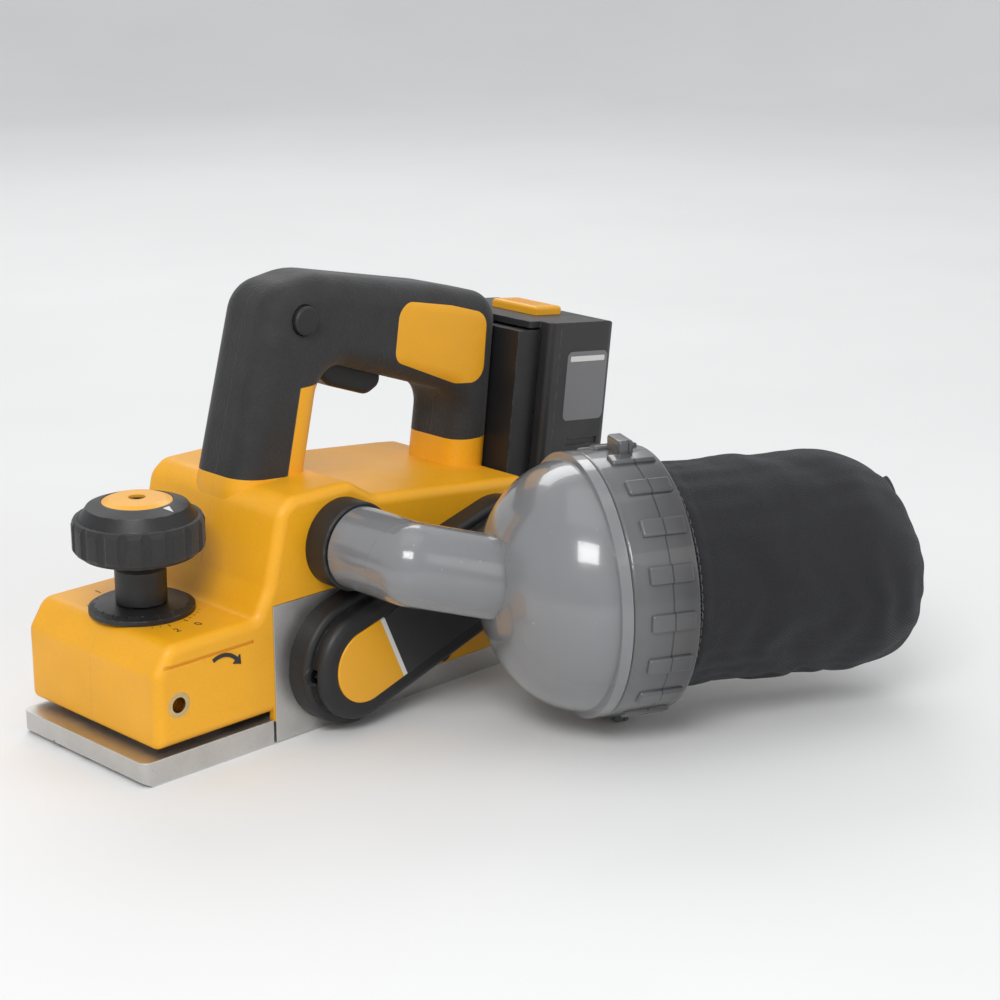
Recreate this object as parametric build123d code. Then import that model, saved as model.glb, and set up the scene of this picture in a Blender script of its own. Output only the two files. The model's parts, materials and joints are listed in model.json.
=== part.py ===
"""Cordless electric hand planer with its dust bag, as an assembly of separate pieces.

Frame: millimetres, +X towards the rear, +Y towards the tool's right side, +Z up. The origin lies on the
sole plane and the tool's centreline, at the middle of the rear shoe.
"""

from build123d import *
import math
import os

# ---------------------------------------------------------------- driving dimensions
NOSE_X = -200.0          # front end of the front shoe
TAIL_X = 90.0            # rear end of the rear shoe
HALF_WIDTH = 46.0        # outer face of the body, left and right
SOLE_RIGHT_Y = 41.0      # the sole ends flush with the cutter on the right, for rebating
WALL = 3.0               # plastic wall thickness
REAR_SHOE_TOP = 10.0
FRONT_SHOE_TOP = 11.0
NOSE_BOTTOM = 14.0       # underside of the nose box, above the front shoe
REBATE_HEIGHT = 9.5      # depth of rebate left open on the right side
CHEEK_INNER_Y = 41.4     # inner face of the casting's side cheeks
CHEEK_FRONT_X, CHEEK_REAR_X, CHEEK_TOP = -130.0, -58.0, 62.0

DRUM_X, DRUM_Z = -94.0, 24.0
CUTTING_RADIUS = 23.9
DRUM_RADIUS = 22.5
DRUM_PULLEY_RADIUS = 12.0
MOTOR_X, MOTOR_Z = -4.0, 54.0
MOTOR_PULLEY_RADIUS = 8.0
STATOR_RADIUS = 18.5

KNOB_X = -164.0
KNOB_RADIUS = 28.0
NOSE_TOP = 58.0

HANDLE_HALF_WIDTH = 19.0
GRIP_SKIN = 2.0
TRIGGER_X, TRIGGER_Z = -66.0, 157.0      # trigger pivot
LOCK_X, LOCK_Z = -86.0, 174.0            # lock-off button axis

PORT_X, PORT_Z = -92.0, 82.5
PORT_BORE = 16.4
COLLAR_RADIUS = 19.5
COLLAR_END_Y = -58.0
COVER_FACE_Y = -64.0

BATTERY_TILT = 7.0
BATTERY_FOOT = (26.0, 0.0, 40.0)         # lower end of the battery's mounting face
BATTERY_HALF_WIDTH = 37.5
BATTERY_LENGTH = 116.0
BATTERY_DEPTH = 54.0

BAG_YAW = 25.0                           # the bag leans away from the body towards the rear
NOZZLE_RADIUS = 18.0
NOZZLE_WALL = 2.2
ELBOW_Y = -91.0
FLANGE_REACH = 76.0                      # elbow centre to flange, along the bag
FLANGE_DROP = 17.6                       # elbow centre above the bag's axis
FLANGE_RADIUS = 57.5
DOME_DEPTH = 44.0
DOME_WALL = 2.4
RING_LENGTH = 30.0
BAG_LENGTH = 127.0
BAG_RADIUS = 52.0
BAG_SEAM = 3.2            # how far the ring's rim laps over the cloth

KICKSTAND_X, KICKSTAND_Z = 54.0, 5.6     # kickstand hinge


# ---------------------------------------------------------------- helpers
def outline(corners):
    """Face in the XY plane through (x, y, corner radius) corners."""
    points = [(c[0], c[1]) for c in corners]
    radii = [c[2] for c in corners]
    return make_face(FilletPolyline(*points, radius=radii, close=True).edges())


def slab(face, y_low, y_high):
    """A face drawn in x and z, extruded between two y positions."""
    plane = Plane(origin=(0, y_high, 0), x_dir=(1, 0, 0), z_dir=(0, -1, 0))
    return extrude(plane * face, amount=y_high - y_low)


def rod_y(x, z, radius, y_low, y_high):
    return Pos(x, (y_low + y_high) / 2, z) * Rot(90, 0, 0) * Cylinder(radius, y_high - y_low)


def rod_z(x, y, radius, z_low, z_high):
    return Pos(x, y, (z_low + z_high) / 2) * Cylinder(radius, z_high - z_low)


def block(x_low, x_high, y_low, y_high, z_low, z_high):
    centre = ((x_low + x_high) / 2, (y_low + y_high) / 2, (z_low + z_high) / 2)
    return Pos(*centre) * Box(x_high - x_low, y_high - y_low, z_high - z_low)


def disc(x, y, radius):
    return Pos(x, y) * Circle(radius)


def hull_of(*discs):
    """Convex outline around discs, as a belt lies round its pulleys."""
    return make_hull([edge for d in discs for edge in d.edges()])


def ring_y(x, z, outer, inner, y_low, y_high):
    return rod_y(x, z, outer, y_low, y_high) - rod_y(x, z, inner, y_low - 1, y_high + 1)


def rim_edges(shape, y_position):
    """Edges that lie wholly in the plane at one y position."""
    edges = shape.edges()
    return edges.filter_by_position(Axis.Y, y_position - 0.01, y_position + 0.01)


def spin(profile_points, radius_axis_location):
    """Solid of revolution about its own Z axis, from (radius, height) points, then placed."""
    face = Plane.XZ * make_face(Polyline(*profile_points, close=True).edges())
    return radius_axis_location * revolve(face, Axis.Z, 360)


# ---------------------------------------------------------------- outer shapes of the housing
def body_face():
    return outline([
        (-192, NOSE_BOTTOM, 2), (-192, 46, 5), (-184, NOSE_TOP, 8), (-138.5, NOSE_TOP, 5),
        (-132, 70, 8), (-124, 102, 9), (-117, 107, 9), (-84, 107, 12), (-70, 98, 12),
        (10, 89, 12), (24, 87, 5), (21, 39, 5), (82, 31.5, 7), (87, 12, 2), (87, REAR_SHOE_TOP + 0.2, 0),
        (-131, REAR_SHOE_TOP + 0.2, 0), (-131, NOSE_BOTTOM, 0),
    ])


def handle_face():
    return outline([
        (-131, 42, 14), (-124, 104, 30), (-101, 188, 17), (-74, 192, 40), (0, 176, 60),
        (36, 166, 14), (22, 42, 14),
    ])


def loop_face():
    return outline([(-92, 70, 13), (-73, 153, 13), (-34, 139, 40), (8, 124, 13), (0, 70, 13)])


def body_solid():
    solid = slab(body_face(), -HALF_WIDTH, HALF_WIDTH)
    sides = rim_edges(solid, -HALF_WIDTH) + rim_edges(solid, HALF_WIDTH)
    softened = [e for e in sides if e.center().Z > NOSE_BOTTOM + 6]
    return fillet(softened, 4.5)


def handle_solid(inset):
    """The handle's outer form, or the same form drawn in by a skin's thickness."""
    half = HANDLE_HALF_WIDTH - inset
    outer = handle_face() if inset == 0 else offset(handle_face(), amount=-inset)
    hole = loop_face() if inset == 0 else offset(loop_face(), amount=inset)
    solid = slab(outer, -half, half)
    solid = fillet(rim_edges(solid, -half) + rim_edges(solid, half), 12 - inset)
    solid -= slab(hole, -half - 1, half + 1)
    low, high = hole.bounding_box().min, hole.bounding_box().max
    rims = [
        e for e in rim_edges(solid, -half) + rim_edges(solid, half)
        if low.X - 0.1 < e.center().X < high.X + 0.1 and low.Y - 0.1 < e.center().Z < high.Y + 0.1
    ]
    return fillet(rims, 10 - inset)


def grip_zone():
    """Region of the handle that carries the soft overmould, open at the badge panel on either side."""
    zone = slab(outline([(-150, 112, 0), (-150, 210, 0), (60, 210, 0), (60, 100, 0), (-90, 106, 0)]), -30, 30)
    window = outline([(-34, 147, 6), (-30, 174, 8), (2, 167, 8), (24, 160, 8), (21, 128, 8), (4, 130, 8)])
    for side in (-1, 1):
        low, high = sorted((side * (HANDLE_HALF_WIDTH - GRIP_SKIN - 0.1), side * 30))
        zone -= slab(window, low, high)
    return zone


SCREW_POINTS = [  # (x, z, outer y) of the clamshell screws
    (-182.5, 46.5, HALF_WIDTH), (-139, 48, HALF_WIDTH), (-58, 87, HALF_WIDTH), (76, 22, HALF_WIDTH),
    (-34, 20, HALF_WIDTH), (-97, 138, HANDLE_HALF_WIDTH), (-2, 158, HANDLE_HALF_WIDTH),
]
SCREW_RADIUS, SCREW_HEAD_RADIUS, SCREW_HEAD_DEPTH = 1.9, 3.6, 2.6
FENCE_X, FENCE_Z, FENCE_BORE, FENCE_DEPTH = -181.0, 32.0, 3.4, 12.0


def screw_solid(x, z, face_y, clearance):
    head = rod_y(x, z, SCREW_HEAD_RADIUS + clearance, face_y - SCREW_HEAD_DEPTH, face_y + 20 * clearance)
    shank = rod_y(x, z, SCREW_RADIUS + clearance, -8 - clearance, face_y - SCREW_HEAD_DEPTH)
    return head + shank


def housing():
    body, handle = body_solid(), handle_solid(0)
    inner_body = slab(offset(body_face(), amount=-WALL), -HALF_WIDTH + WALL, HALF_WIDTH - WALL)
    open_floor = block(-189, 84, -HALF_WIDTH + WALL, HALF_WIDTH - WALL, 0, NOSE_BOTTOM + WALL + 4)
    cavity = inner_body + open_floor + handle_solid(5)
    shell = body + handle - cavity
    for x, z, face_y in SCREW_POINTS:
        reach = face_y - WALL + 0.5
        shell += rod_y(x, z, 5.0, -reach, reach)
    for side in (-1, 1):
        low, high = sorted((side * (HALF_WIDTH - FENCE_DEPTH - 2), side * (HALF_WIDTH - 1)))
        shell += rod_y(FENCE_X, FENCE_Z, 8.5, low, high)
    grip = (handle - handle_solid(GRIP_SKIN)) & grip_zone()
    shell -= grip
    cuts = [
        block(CHEEK_FRONT_X - 0.2, CHEEK_REAR_X + 0.2, -60, 60, 0, CHEEK_TOP + 0.2),
        rod_y(PORT_X, PORT_Z, PORT_BORE + 1.6, -60, -40),
        rod_y(MOTOR_X, MOTOR_Z, 12.0, -60, -40),
        rod_y(MOTOR_X, MOTOR_Z, 17.0, 40, 60),
        rod_y(LOCK_X, LOCK_Z, 6.9, -30, 30),
        rod_y(TRIGGER_X, TRIGGER_Z, 2.0, -14, 14),
        block(-71, -29, -8, 8, 130, 166),
        rod_z(KNOB_X, 0, 8.0, 50, 70),
        battery_mount_blank(),
    ]
    seam = block(-200, -141, -60, 60, 48.6, 50.0) - block(-191.1, -130, -HALF_WIDTH + 0.9, HALF_WIDTH - 0.9, 45, 55)
    cuts.append(seam)
    for side in (-1, 1):
        low, high = sorted((side * (HALF_WIDTH - FENCE_DEPTH), side * (HALF_WIDTH + 5)))
        cuts.append(rod_y(FENCE_X, FENCE_Z, 5.5, low, high))
    cuts += [screw_solid(x, z, face_y, 0.15) for x, z, face_y in SCREW_POINTS]
    for cut in cuts:
        shell -= cut
    grip -= rod_y(LOCK_X, LOCK_Z, 6.9, -30, 30)
    grip -= block(-71, -29, -8, 8, 130, 166)
    grip -= screw_solid(*SCREW_POINTS[5], 0.15)
    grip -= battery_mount_blank()
    left, right = block(-260, 160, -90, 0, -20, 240), block(-260, 160, 0, 90, -20, 240)
    return {
        "housing_left": shell & left, "housing_right": shell & right,
        "grip_left": grip & left, "grip_right": grip & right,
    }


# ---------------------------------------------------------------- battery and its mount
BATTERY_FRAME = Pos(*BATTERY_FOOT) * Rot(0, BATTERY_TILT, 0)   # local x out of the mount, z along the slide


def battery_mount_blank():
    return BATTERY_FRAME * block(-7, 7.4, -31, 31, -4, 112)


def battery_mount():
    plate = block(-7, 0, -31, 31, -4, 112)
    for side in (-1, 1):
        rail = block(0, 7.4, *sorted((side * 20.8, side * 31)), -4, 112)
        lip = block(5.0, 7.4, *sorted((side * 17.2, side * 21)), -4, 112)
        plate += rail + lip
    plate += block(0, 7.4, -31, 31, -4, 0.6)
    for y in (-8, 0, 8):
        plate -= block(-4, 1, y - 0.5, y + 0.5, 10, 30)
    return BATTERY_FRAME * plate


def battery_terminals():
    blades = [block(-4, 3.8, y - 0.5, y + 0.5, 10, 30) for y in (-8, 0, 8)]
    return BATTERY_FRAME * Compound(blades)


BUTTON_TRAVEL = 3.0


def battery_parts():
    half, low, high = BATTERY_HALF_WIDTH, 1.4, BATTERY_LENGTH
    case = block(15, BATTERY_DEPTH, -half, half, low, high)
    corners = case.edges().filter_by(Axis.Z) + case.edges().filter_by(Axis.Y).sort_by(Axis.X)[-2:]
    case = fillet([e for e in corners if e.center().X > 20], 7)
    case -= block(17.5, BATTERY_DEPTH - 2.5, -half + 2.5, half - 2.5, low + 2.5, high - 2.5)
    for side in (-1, 1):
        for row in range(4):
            z = 30 + 9 * row
            case -= block(24, 46, *sorted((side * (half - 0.8), side * (half + 1))), z, z + 3.2)
    cover = block(8.2, 15, -half, half, low, high)
    cover = fillet(cover.edges().filter_by(Axis.Z).sort_by(Axis.X)[:2], 3)
    tower = block(0.8, 4.4, -20, 20, low, high - 16) + block(4.4, 8.2, -16.4, 16.4, low, high - 16)
    cover += tower + block(0.8, 8.2, -30, 30, high - 3, high)
    for y in (-8, 0, 8):
        cover -= block(0, 5.0, y - 1, y + 1, 0, 34)
    case -= block(20, 38, -15, 15, high - 6, high + 1)
    cells = [Pos(28, 0, 14 + 18.8 * row) * Rot(90, 0, 0) * Cylinder(9, 65) for row in range(5)]
    screws = [
        Pos(BATTERY_DEPTH - 2.0, side * 31, z) * Rot(0, 90, 0) * Cylinder(2.6, 3.2)
        for side in (-1, 1) for z in (10, BATTERY_LENGTH - 9)
    ]
    for screw in screws:
        case -= screw
    button = block(20.4, 37.6, -14.6, 14.6, high - 9, high + BUTTON_TRAVEL + 1)
    button = fillet(button.faces().sort_by(Axis.Z)[-1].edges(), 1.6)
    for row in range(4):
        x = 24 + 3 * row
        button -= block(x, x + 1.2, -11, 11, high + BUTTON_TRAVEL + 0.3, high + BUTTON_TRAVEL + 2)
    parts = {
        "battery_case": case, "battery_rail_cover": cover, "battery_cells": Compound(cells),
        "battery_screws": Compound(screws), "battery_release_button": button,
    }
    return {name: BATTERY_FRAME * shape for name, shape in parts.items()}


# ---------------------------------------------------------------- base casting and shoes
BEARING_OUTER, BEARING_BORE = 13.0, 5.0
BEARING_LOW_Y = 38.0
BASE_SCREW_X, BASE_SCREW_Y = (-50, 30), (-28, 24)


def base_casting():
    plate = block(-110, TAIL_X, -HALF_WIDTH, SOLE_RIGHT_Y, 0, REAR_SHOE_TOP)
    plate = fillet(plate.edges().filter_by(Axis.Z).sort_by(Axis.X)[-2:], 9)
    left = block(CHEEK_FRONT_X, CHEEK_REAR_X, -HALF_WIDTH, -CHEEK_INNER_Y, 0.3, CHEEK_TOP)
    right = block(CHEEK_FRONT_X, CHEEK_REAR_X, CHEEK_INNER_Y, HALF_WIDTH, REBATE_HEIGHT, CHEEK_TOP)
    bridge = block(CHEEK_FRONT_X + 2, CHEEK_FRONT_X + 6, -CHEEK_INNER_Y, CHEEK_INNER_Y, 16, 60)
    solid = plate + left + right + bridge
    solid += block(-66, CHEEK_REAR_X, -CHEEK_INNER_Y, SOLE_RIGHT_Y, 0, CHEEK_TOP)
    solid += block(-80, -60, -41, CHEEK_INNER_Y + 2, REBATE_HEIGHT, 16)
    solid -= rod_y(DRUM_X, DRUM_Z, 26.0, -CHEEK_INNER_Y, CHEEK_INNER_Y)
    solid -= block(-112, DRUM_X, -CHEEK_INNER_Y, 60, -1, 15.5)
    for side in (-1, 1):
        low, high = sorted((side * BEARING_LOW_Y, side * CHEEK_INNER_Y))
        solid += rod_y(DRUM_X, DRUM_Z, 15.4, low, high)
        solid -= rod_y(DRUM_X, DRUM_Z, BEARING_OUTER, *sorted((side * (BEARING_LOW_Y - 1), side * (HALF_WIDTH + 1))))
    solid -= block(KICKSTAND_X - 6, TAIL_X + 1, -11, 11, -1, REAR_SHOE_TOP + 1)
    for y in BASE_SCREW_Y:
        for x in BASE_SCREW_X:
            solid -= rod_z(x, y, 2.6, -1, REAR_SHOE_TOP + 1)
            solid -= rod_z(x, y, 5.2, -1, 4.0)
    return solid


def base_screws():
    screws = []
    for y in BASE_SCREW_Y:
        for x in BASE_SCREW_X:
            head = rod_z(x, y, 5.0, 0.8, 3.9)
            socket = Pos(x, y, 0.8) * extrude(RegularPolygon(2.2, 6), amount=1.8)
            screws.append(head + rod_z(x, y, 2.4, 3.9, 18) - socket)
    return Compound(screws)


def kickstand():
    arm = slab(outline([
        (KICKSTAND_X - 3.6, KICKSTAND_Z - 3.6, 3.4), (KICKSTAND_X - 3.6, KICKSTAND_Z + 3.6, 3.4),
        (80, 9.0, 2), (88, 7.5, 1.5), (88, 1.2, 1.5), (76, 3.4, 2),
    ]), -9.5, 9.5)
    arm -= rod_y(KICKSTAND_X, KICKSTAND_Z, 2.05, -20, 20)
    return arm - block(60, 74, -5, 5, -5, 20)


def front_shoe():
    plate = block(NOSE_X, -103, -HALF_WIDTH, SOLE_RIGHT_Y, 0, FRONT_SHOE_TOP)
    plate = fillet(plate.edges().filter_by(Axis.Z).sort_by(Axis.X)[:2], 4)
    lead = slab(outline([(NOSE_X - 1, -1, 0), (NOSE_X - 1, 3, 0), (NOSE_X + 6, -1, 0)]), -60, 60)
    plate -= lead
    plate -= block(CHEEK_FRONT_X - 1.5, -90, -60, -CHEEK_INNER_Y + 0.4, -1, 20)
    plate -= rod_y(DRUM_X, DRUM_Z, 27.0, -60, 60)
    for y, depth in ((-22, 1.6), (-2, 2.6), (18, 3.4)):
        groove = Polyline((y - depth, -0.01), (y, depth), (y + depth, -0.01), close=True)
        plate -= extrude(Plane(origin=(NOSE_X - 1, 0, 0), x_dir=(0, 1, 0), z_dir=(1, 0, 0))
                         * make_face(groove.edges()), amount=110)
    riser = block(-184, -144, -29, 29, FRONT_SHOE_TOP - 1, 36)
    riser = fillet(riser.edges().filter_by(Axis.Z), 5)
    riser -= block(-181, -147, -26, -12, FRONT_SHOE_TOP + 2, 40)
    riser -= block(-181, -147, 12, 26, FRONT_SHOE_TOP + 2, 40)
    solid = plate + riser
    return solid - rod_z(KNOB_X, 0, 8.0, FRONT_SHOE_TOP, 40)


def shoe_nut():
    return rod_z(KNOB_X, 0, 8.0, FRONT_SHOE_TOP, 38) - rod_z(KNOB_X, 0, 5.05, FRONT_SHOE_TOP - 1, 40)


# ---------------------------------------------------------------- depth knob
def depth_knob_parts():
    at = Pos(KNOB_X, 0, 0)
    body = spin([(0, 62.4), (11, 62.4), (11, 77), (15, 80.5), (24.5, 83.5), (25, 86), (25, 99.5), (21.5, 104.5),
                 (15.2, 106.6), (15.2, 104.6), (0, 104.6)], at)
    tyre = spin([(25.05, 85.5), (KNOB_RADIUS - 1, 85.5), (KNOB_RADIUS, 87), (KNOB_RADIUS, 97.5),
                 (KNOB_RADIUS - 1, 99.5), (25.05, 99.5)], at)
    for index in range(18):
        angle = math.radians(index * 20)
        reach = KNOB_RADIUS + 1.6
        tyre -= rod_z(KNOB_X + reach * math.cos(angle), reach * math.sin(angle), 2.8, 80, 110)
    cap = spin([(0, 104.6), (15, 104.6), (15, 106.4), (12, 107.6), (0, 108)], at)
    cap -= rod_z(KNOB_X, 0, 3.6, 104.6, 110)
    screw = rod_z(KNOB_X, 0, 3.4, 104.7, 106.8) - Pos(KNOB_X, 0, 105.4) * extrude(RegularPolygon(1.8, 6), amount=3)
    spindle = rod_z(KNOB_X, 0, 5.0, 16, 62.4)
    return {
        "knob_body": body, "knob_grip_ring": tyre, "knob_cap": cap, "knob_screw": screw,
        "depth_spindle": spindle,
    }


def depth_collar():
    at = Pos(KNOB_X, 0, 0)
    collar = spin([(5.1, NOSE_TOP), (22.6, NOSE_TOP), (22.6, 60.2), (20, 61.6), (5.1, 61.6)], at)
    for index in range(20):
        angle = math.radians(index * 18)
        tick = Pos(KNOB_X + 21.0 * math.cos(angle), 21.0 * math.sin(angle), 61.2)
        collar -= tick * Rot(0, 0, math.degrees(angle)) * Box(3.4, 0.7, 1.0)
    return collar


def shoe_spring():
    """Coil that holds the front shoe down on the spindle's thread."""
    path = Helix(pitch=4.0, height=16.0, radius=11.0)
    wire = Plane(origin=path @ 0, z_dir=path % 0) * Circle(1.1)
    return Pos(KNOB_X, 0, 37.5) * sweep(wire, path=path)


# ---------------------------------------------------------------- cutter drum
BLADE_COUNT = 2
DRUM_REST_ANGLE = 32.0


def drum_parts():
    half = CHEEK_INNER_Y - 0.6
    tip = math.sqrt(CUTTING_RADIUS ** 2 - 5.4 ** 2)
    drum = rod_y(0, 0, DRUM_RADIUS, -half, half)
    for side in (-1, 1):
        drum -= rod_y(0, 0, 16.0, *sorted((side * (BEARING_LOW_Y - 0.6), side * (half + 1))))
    drum += rod_y(0, 0, BEARING_BORE - 0.05, -61, 45.4)
    gullet = outline([(5.42, 12.8, 0), (5.42, 30, 0), (-14, 30, 0), (-4.4, 12.2, 2)])
    blade = block(4.2, 5.4, -half, half, 16.8, tip)
    clamp = slab(outline([(-2.2, 13.2, 1), (-2.2, 19.5, 1.5), (4.15, 21.6, 0.4), (4.15, 13.2, 1)]), -half, half)
    recess = rod_y(0, 0, 16.2, -60, -37.2) + rod_y(0, 0, 16.2, 37.2, 60)
    drums, blades, clamps, screws = drum, [], [], []
    for index in range(BLADE_COUNT):
        turn = Rot(0, 180 * index, 0)
        drums -= turn * slab(gullet, -60, 60)
        blades.append(turn * blade)
        cut_clamp = clamp - recess
        for y in (-30, 0, 30):
            screw = Pos(-1.6, y, 16.4) * Rot(0, -90, 0) * Cylinder(2.4, 3.0)
            socket = Pos(-3.0, y, 16.4) * Rot(0, -90, 0) * extrude(RegularPolygon(1.3, 6), amount=1.0)
            screws.append(turn * (screw - socket))
            cut_clamp -= Pos(-1.6, y, 16.4) * Rot(0, -90, 0) * Cylinder(2.4, 3.0)
        clamps.append(turn * cut_clamp)
    place = Pos(DRUM_X, 0, DRUM_Z) * Rot(0, DRUM_REST_ANGLE, 0)
    return {
        "cutter_drum": place * drums, "cutter_blades": place * Compound(blades),
        "blade_clamps": place * Compound(clamps), "blade_screws": place * Compound(screws),
    }


# ---------------------------------------------------------------- belt drive
BELT_LOW_Y, BELT_HIGH_Y = -60.0, -50.0
BELT_GAP = 0.35
BELT_THICKNESS = 1.8


def pulley(x, z, radius, shaft_radius):
    wheel = rod_y(x, z, radius, BELT_LOW_Y - 0.6, BELT_HIGH_Y + 0.6)
    wheel += rod_y(x, z, radius + 1.2, BELT_HIGH_Y + 0.6, BELT_HIGH_Y + 1.6)
    wheel -= rod_y(x, z, shaft_radius + 0.02, -80, -30)
    for index in range(5):
        y = BELT_LOW_Y + 1 + 2 * index
        wheel -= ring_y(x, z, radius + 1, radius - 0.9, y - 0.4, y + 0.4)
    return wheel


def drive_belt():
    def loop(extra):
        return hull_of(
            disc(DRUM_X, DRUM_Z, DRUM_PULLEY_RADIUS + extra), disc(MOTOR_X, MOTOR_Z, MOTOR_PULLEY_RADIUS + extra))
    return slab(loop(BELT_GAP + BELT_THICKNESS) - loop(BELT_GAP), BELT_LOW_Y, BELT_HIGH_Y)


COVER_FRONT = (DRUM_X, 30.5, 28.5)       # x, z, radius of the belt cover's front end
COVER_REAR = (MOTOR_X + 2.0, 57.0, 27.0)


def cover_outline(inset):
    return hull_of(*(disc(x, z, radius - inset) for x, z, radius in (COVER_FRONT, COVER_REAR)))


COVER_SCREWS = [(DRUM_X - 23.6, 30.5), (-54.6, 66.2), (-41.4, 21.3), (MOTOR_X + 24.2, 57.0)]


def belt_cover_parts():
    base = slab(cover_outline(0), -57, -HALF_WIDTH)
    base = fillet(rim_edges(base, -57), 2.5)
    crown = slab(cover_outline(4), COVER_FACE_Y, -56)
    crown = fillet(rim_edges(crown, COVER_FACE_Y), 4)
    cover = base + crown
    cover -= slab(cover_outline(2.6), -54.4, -HALF_WIDTH + 1)
    cover -= slab(cover_outline(6.2), COVER_FACE_Y + 2.4, -50)
    badge_bed = slab(cover_outline(12.0), COVER_FACE_Y - 1, COVER_FACE_Y + 0.8)
    cover -= badge_bed
    badge = slab(cover_outline(12.2), COVER_FACE_Y - 0.6, COVER_FACE_Y + 0.8)
    badge = fillet(rim_edges(badge, COVER_FACE_Y - 0.6), 0.5)
    screws = []
    for x, z in COVER_SCREWS:
        cover += rod_y(x, z, 4.6, -57.4, -HALF_WIDTH)
        cover -= rod_y(x, z, 3.3, -60, -55.4) + rod_y(x, z, 1.9, -60, -40)
        drive = Pos(x, -57.4, z) * Rot(90, 0, 0) * Cylinder(1.4, 2.0)
        screws.append(rod_y(x, z, 3.2, -57.4, -55.4) + rod_y(x, z, 1.8, -55.4, -46.0) - drive)
    return {"belt_cover": cover, "belt_cover_badge": badge, "belt_cover_screws": Compound(screws)}


# ---------------------------------------------------------------- motor
MOTOR_SHAFT_RADIUS = 4.0


def motor_parts():
    x, z, bore = MOTOR_X, MOTOR_Z, MOTOR_SHAFT_RADIUS
    outer = STATOR_RADIUS + 2.2
    frame = ring_y(x, z, outer, STATOR_RADIUS, -42, 42)
    frame += ring_y(x, z, outer, 11.0, -42, -35) + ring_y(x, z, outer, 11.0, 36, 42)
    for index in range(6):
        turn = Pos(x, 0, z) * Rot(0, 60 * index, 0)
        frame -= turn * Pos(14.6, 0, 0) * Box(4.4, 100, 7)
        frame -= turn * Rot(0, 30, 0) * Pos(STATOR_RADIUS + 1, 31.5, 0) * Box(12, 5, 10)
    for y in (-41, 37):
        frame += block(x - 12, x + 12, y, y + 4, REAR_SHOE_TOP, z - 16)
    stator = ring_y(x, z, STATOR_RADIUS, 11.8, -22, 20)
    for index in range(6):
        stator -= Pos(x, 0, z) * Rot(0, 60 * index, 0) * Pos(13.8, 0, 0) * Box(5.6, 60, 2.8)
    windings = Compound([
        Pos(x, side * 24.2 - 1, z) * Rot(0, 60 * index + 30, 0) * Pos(14.8, 0, 0) * Box(5.0, 3.8, 8)
        for index in range(6) for side in (-1, 1)
    ])
    rotor = ring_y(x, z, 11.3, bore, -21, 19)
    shaft = rod_y(x, z, bore - 0.05, -61, 42.8)
    fan = ring_y(x, z, 7.0, bore, 28.5, 35) + ring_y(x, z, STATOR_RADIUS - 1.6, 6.5, 28.5, 29.7)
    for index in range(11):
        turn = Rot(0, index * 360 / 11, 0)
        fan += Pos(x, 0, z) * turn * block(6.5, STATOR_RADIUS - 1.8, 29.5, 34.6, -0.6, 0.6)
    return {
        "motor_frame": frame, "motor_stator": stator, "motor_windings": windings, "motor_rotor": rotor,
        "motor_shaft": shaft, "cooling_fan": fan,
        "motor_bearing_left": ring_y(x, z, 11.0, bore, -42, -35),
        "motor_bearing_right": ring_y(x, z, 11.0, bore, 36, 42),
    }


def vent_grille():
    plate = slab(outline([(-31, 34, 12), (-27, 78, 12), (17, 74, 12), (13, 30, 12)]), HALF_WIDTH, HALF_WIDTH + 1.8)
    plate = fillet(rim_edges(plate, HALF_WIDTH + 1.8), 0.8)
    for row in range(6):
        z = 39.0 + 6.0 * row
        slot = slab(outline([(-22, z, 1.2), (-21, z + 2.8, 1.2), (10, z + 1.0, 1.2), (9, z - 1.8, 1.2)]),
                    HALF_WIDTH - 1, HALF_WIDTH + 3)
        plate -= slot
    return plate


# ---------------------------------------------------------------- chip duct and port
def chip_chute():
    low_y, high_y = -HALF_WIDTH + WALL + 0.2, 37.0
    outer = slab(outline([(-117, 63, 2), (-117, 100, 4), (-84, 100, 6), (-73, 92, 6), (-73, 63, 2)]), low_y, high_y)
    outer += block(-117, -93, low_y + 2.2, high_y, 52, 64)
    inner = slab(outline([(-115, 65, 2), (-115, 98.2, 3), (-85, 98.2, 5), (-75, 91, 5), (-75, 65, 2)]),
                 low_y + 1.8, high_y - 2)
    inner += block(-115, -95, low_y + 4.2, high_y - 2, 50, 67)
    return outer - inner - rod_y(PORT_X, PORT_Z, PORT_BORE, -60, -38)


def port_collar():
    tube = ring_y(PORT_X, PORT_Z, COLLAR_RADIUS, PORT_BORE, COLLAR_END_Y, -HALF_WIDTH)
    tube = fillet(tube.edges().filter_by(GeomType.CIRCLE).group_by(Axis.Y)[0], 1.0)
    sleeve = ring_y(PORT_X, PORT_Z, PORT_BORE + 1.6, PORT_BORE, -HALF_WIDTH - 0.5, -43.0)
    return tube + sleeve


# ---------------------------------------------------------------- trigger, lock-off and electronics
def trigger():
    paddle = slab(outline([
        (TRIGGER_X - 4.4, TRIGGER_Z + 4.4, 4), (TRIGGER_X - 4.4, 146, 4), (-62, 138.5, 6), (-40, 130.5, 7),
        (-32, 134, 5), (-31, 154, 2), (-40, TRIGGER_Z + 3.4, 2),
    ]), -7, 7)
    lower = [e for e in rim_edges(paddle, -7) + rim_edges(paddle, 7) if e.center().Z < 145]
    paddle = fillet(lower, 2.0)
    return paddle - rod_y(TRIGGER_X, TRIGGER_Z, 2.05, -20, 20)


def lock_off_button():
    button = rod_y(LOCK_X, LOCK_Z, 6.5, -HANDLE_HALF_WIDTH - 2.6, HANDLE_HALF_WIDTH + 2.6)
    ends = button.edges().filter_by(GeomType.CIRCLE)
    return fillet(ends, 1.2)


def trigger_switch():
    switch = block(-62, -30, -11.5, 11.5, 167, 175)
    return switch + block(-56, -50, -3, 3, 164.5, 167)


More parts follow.
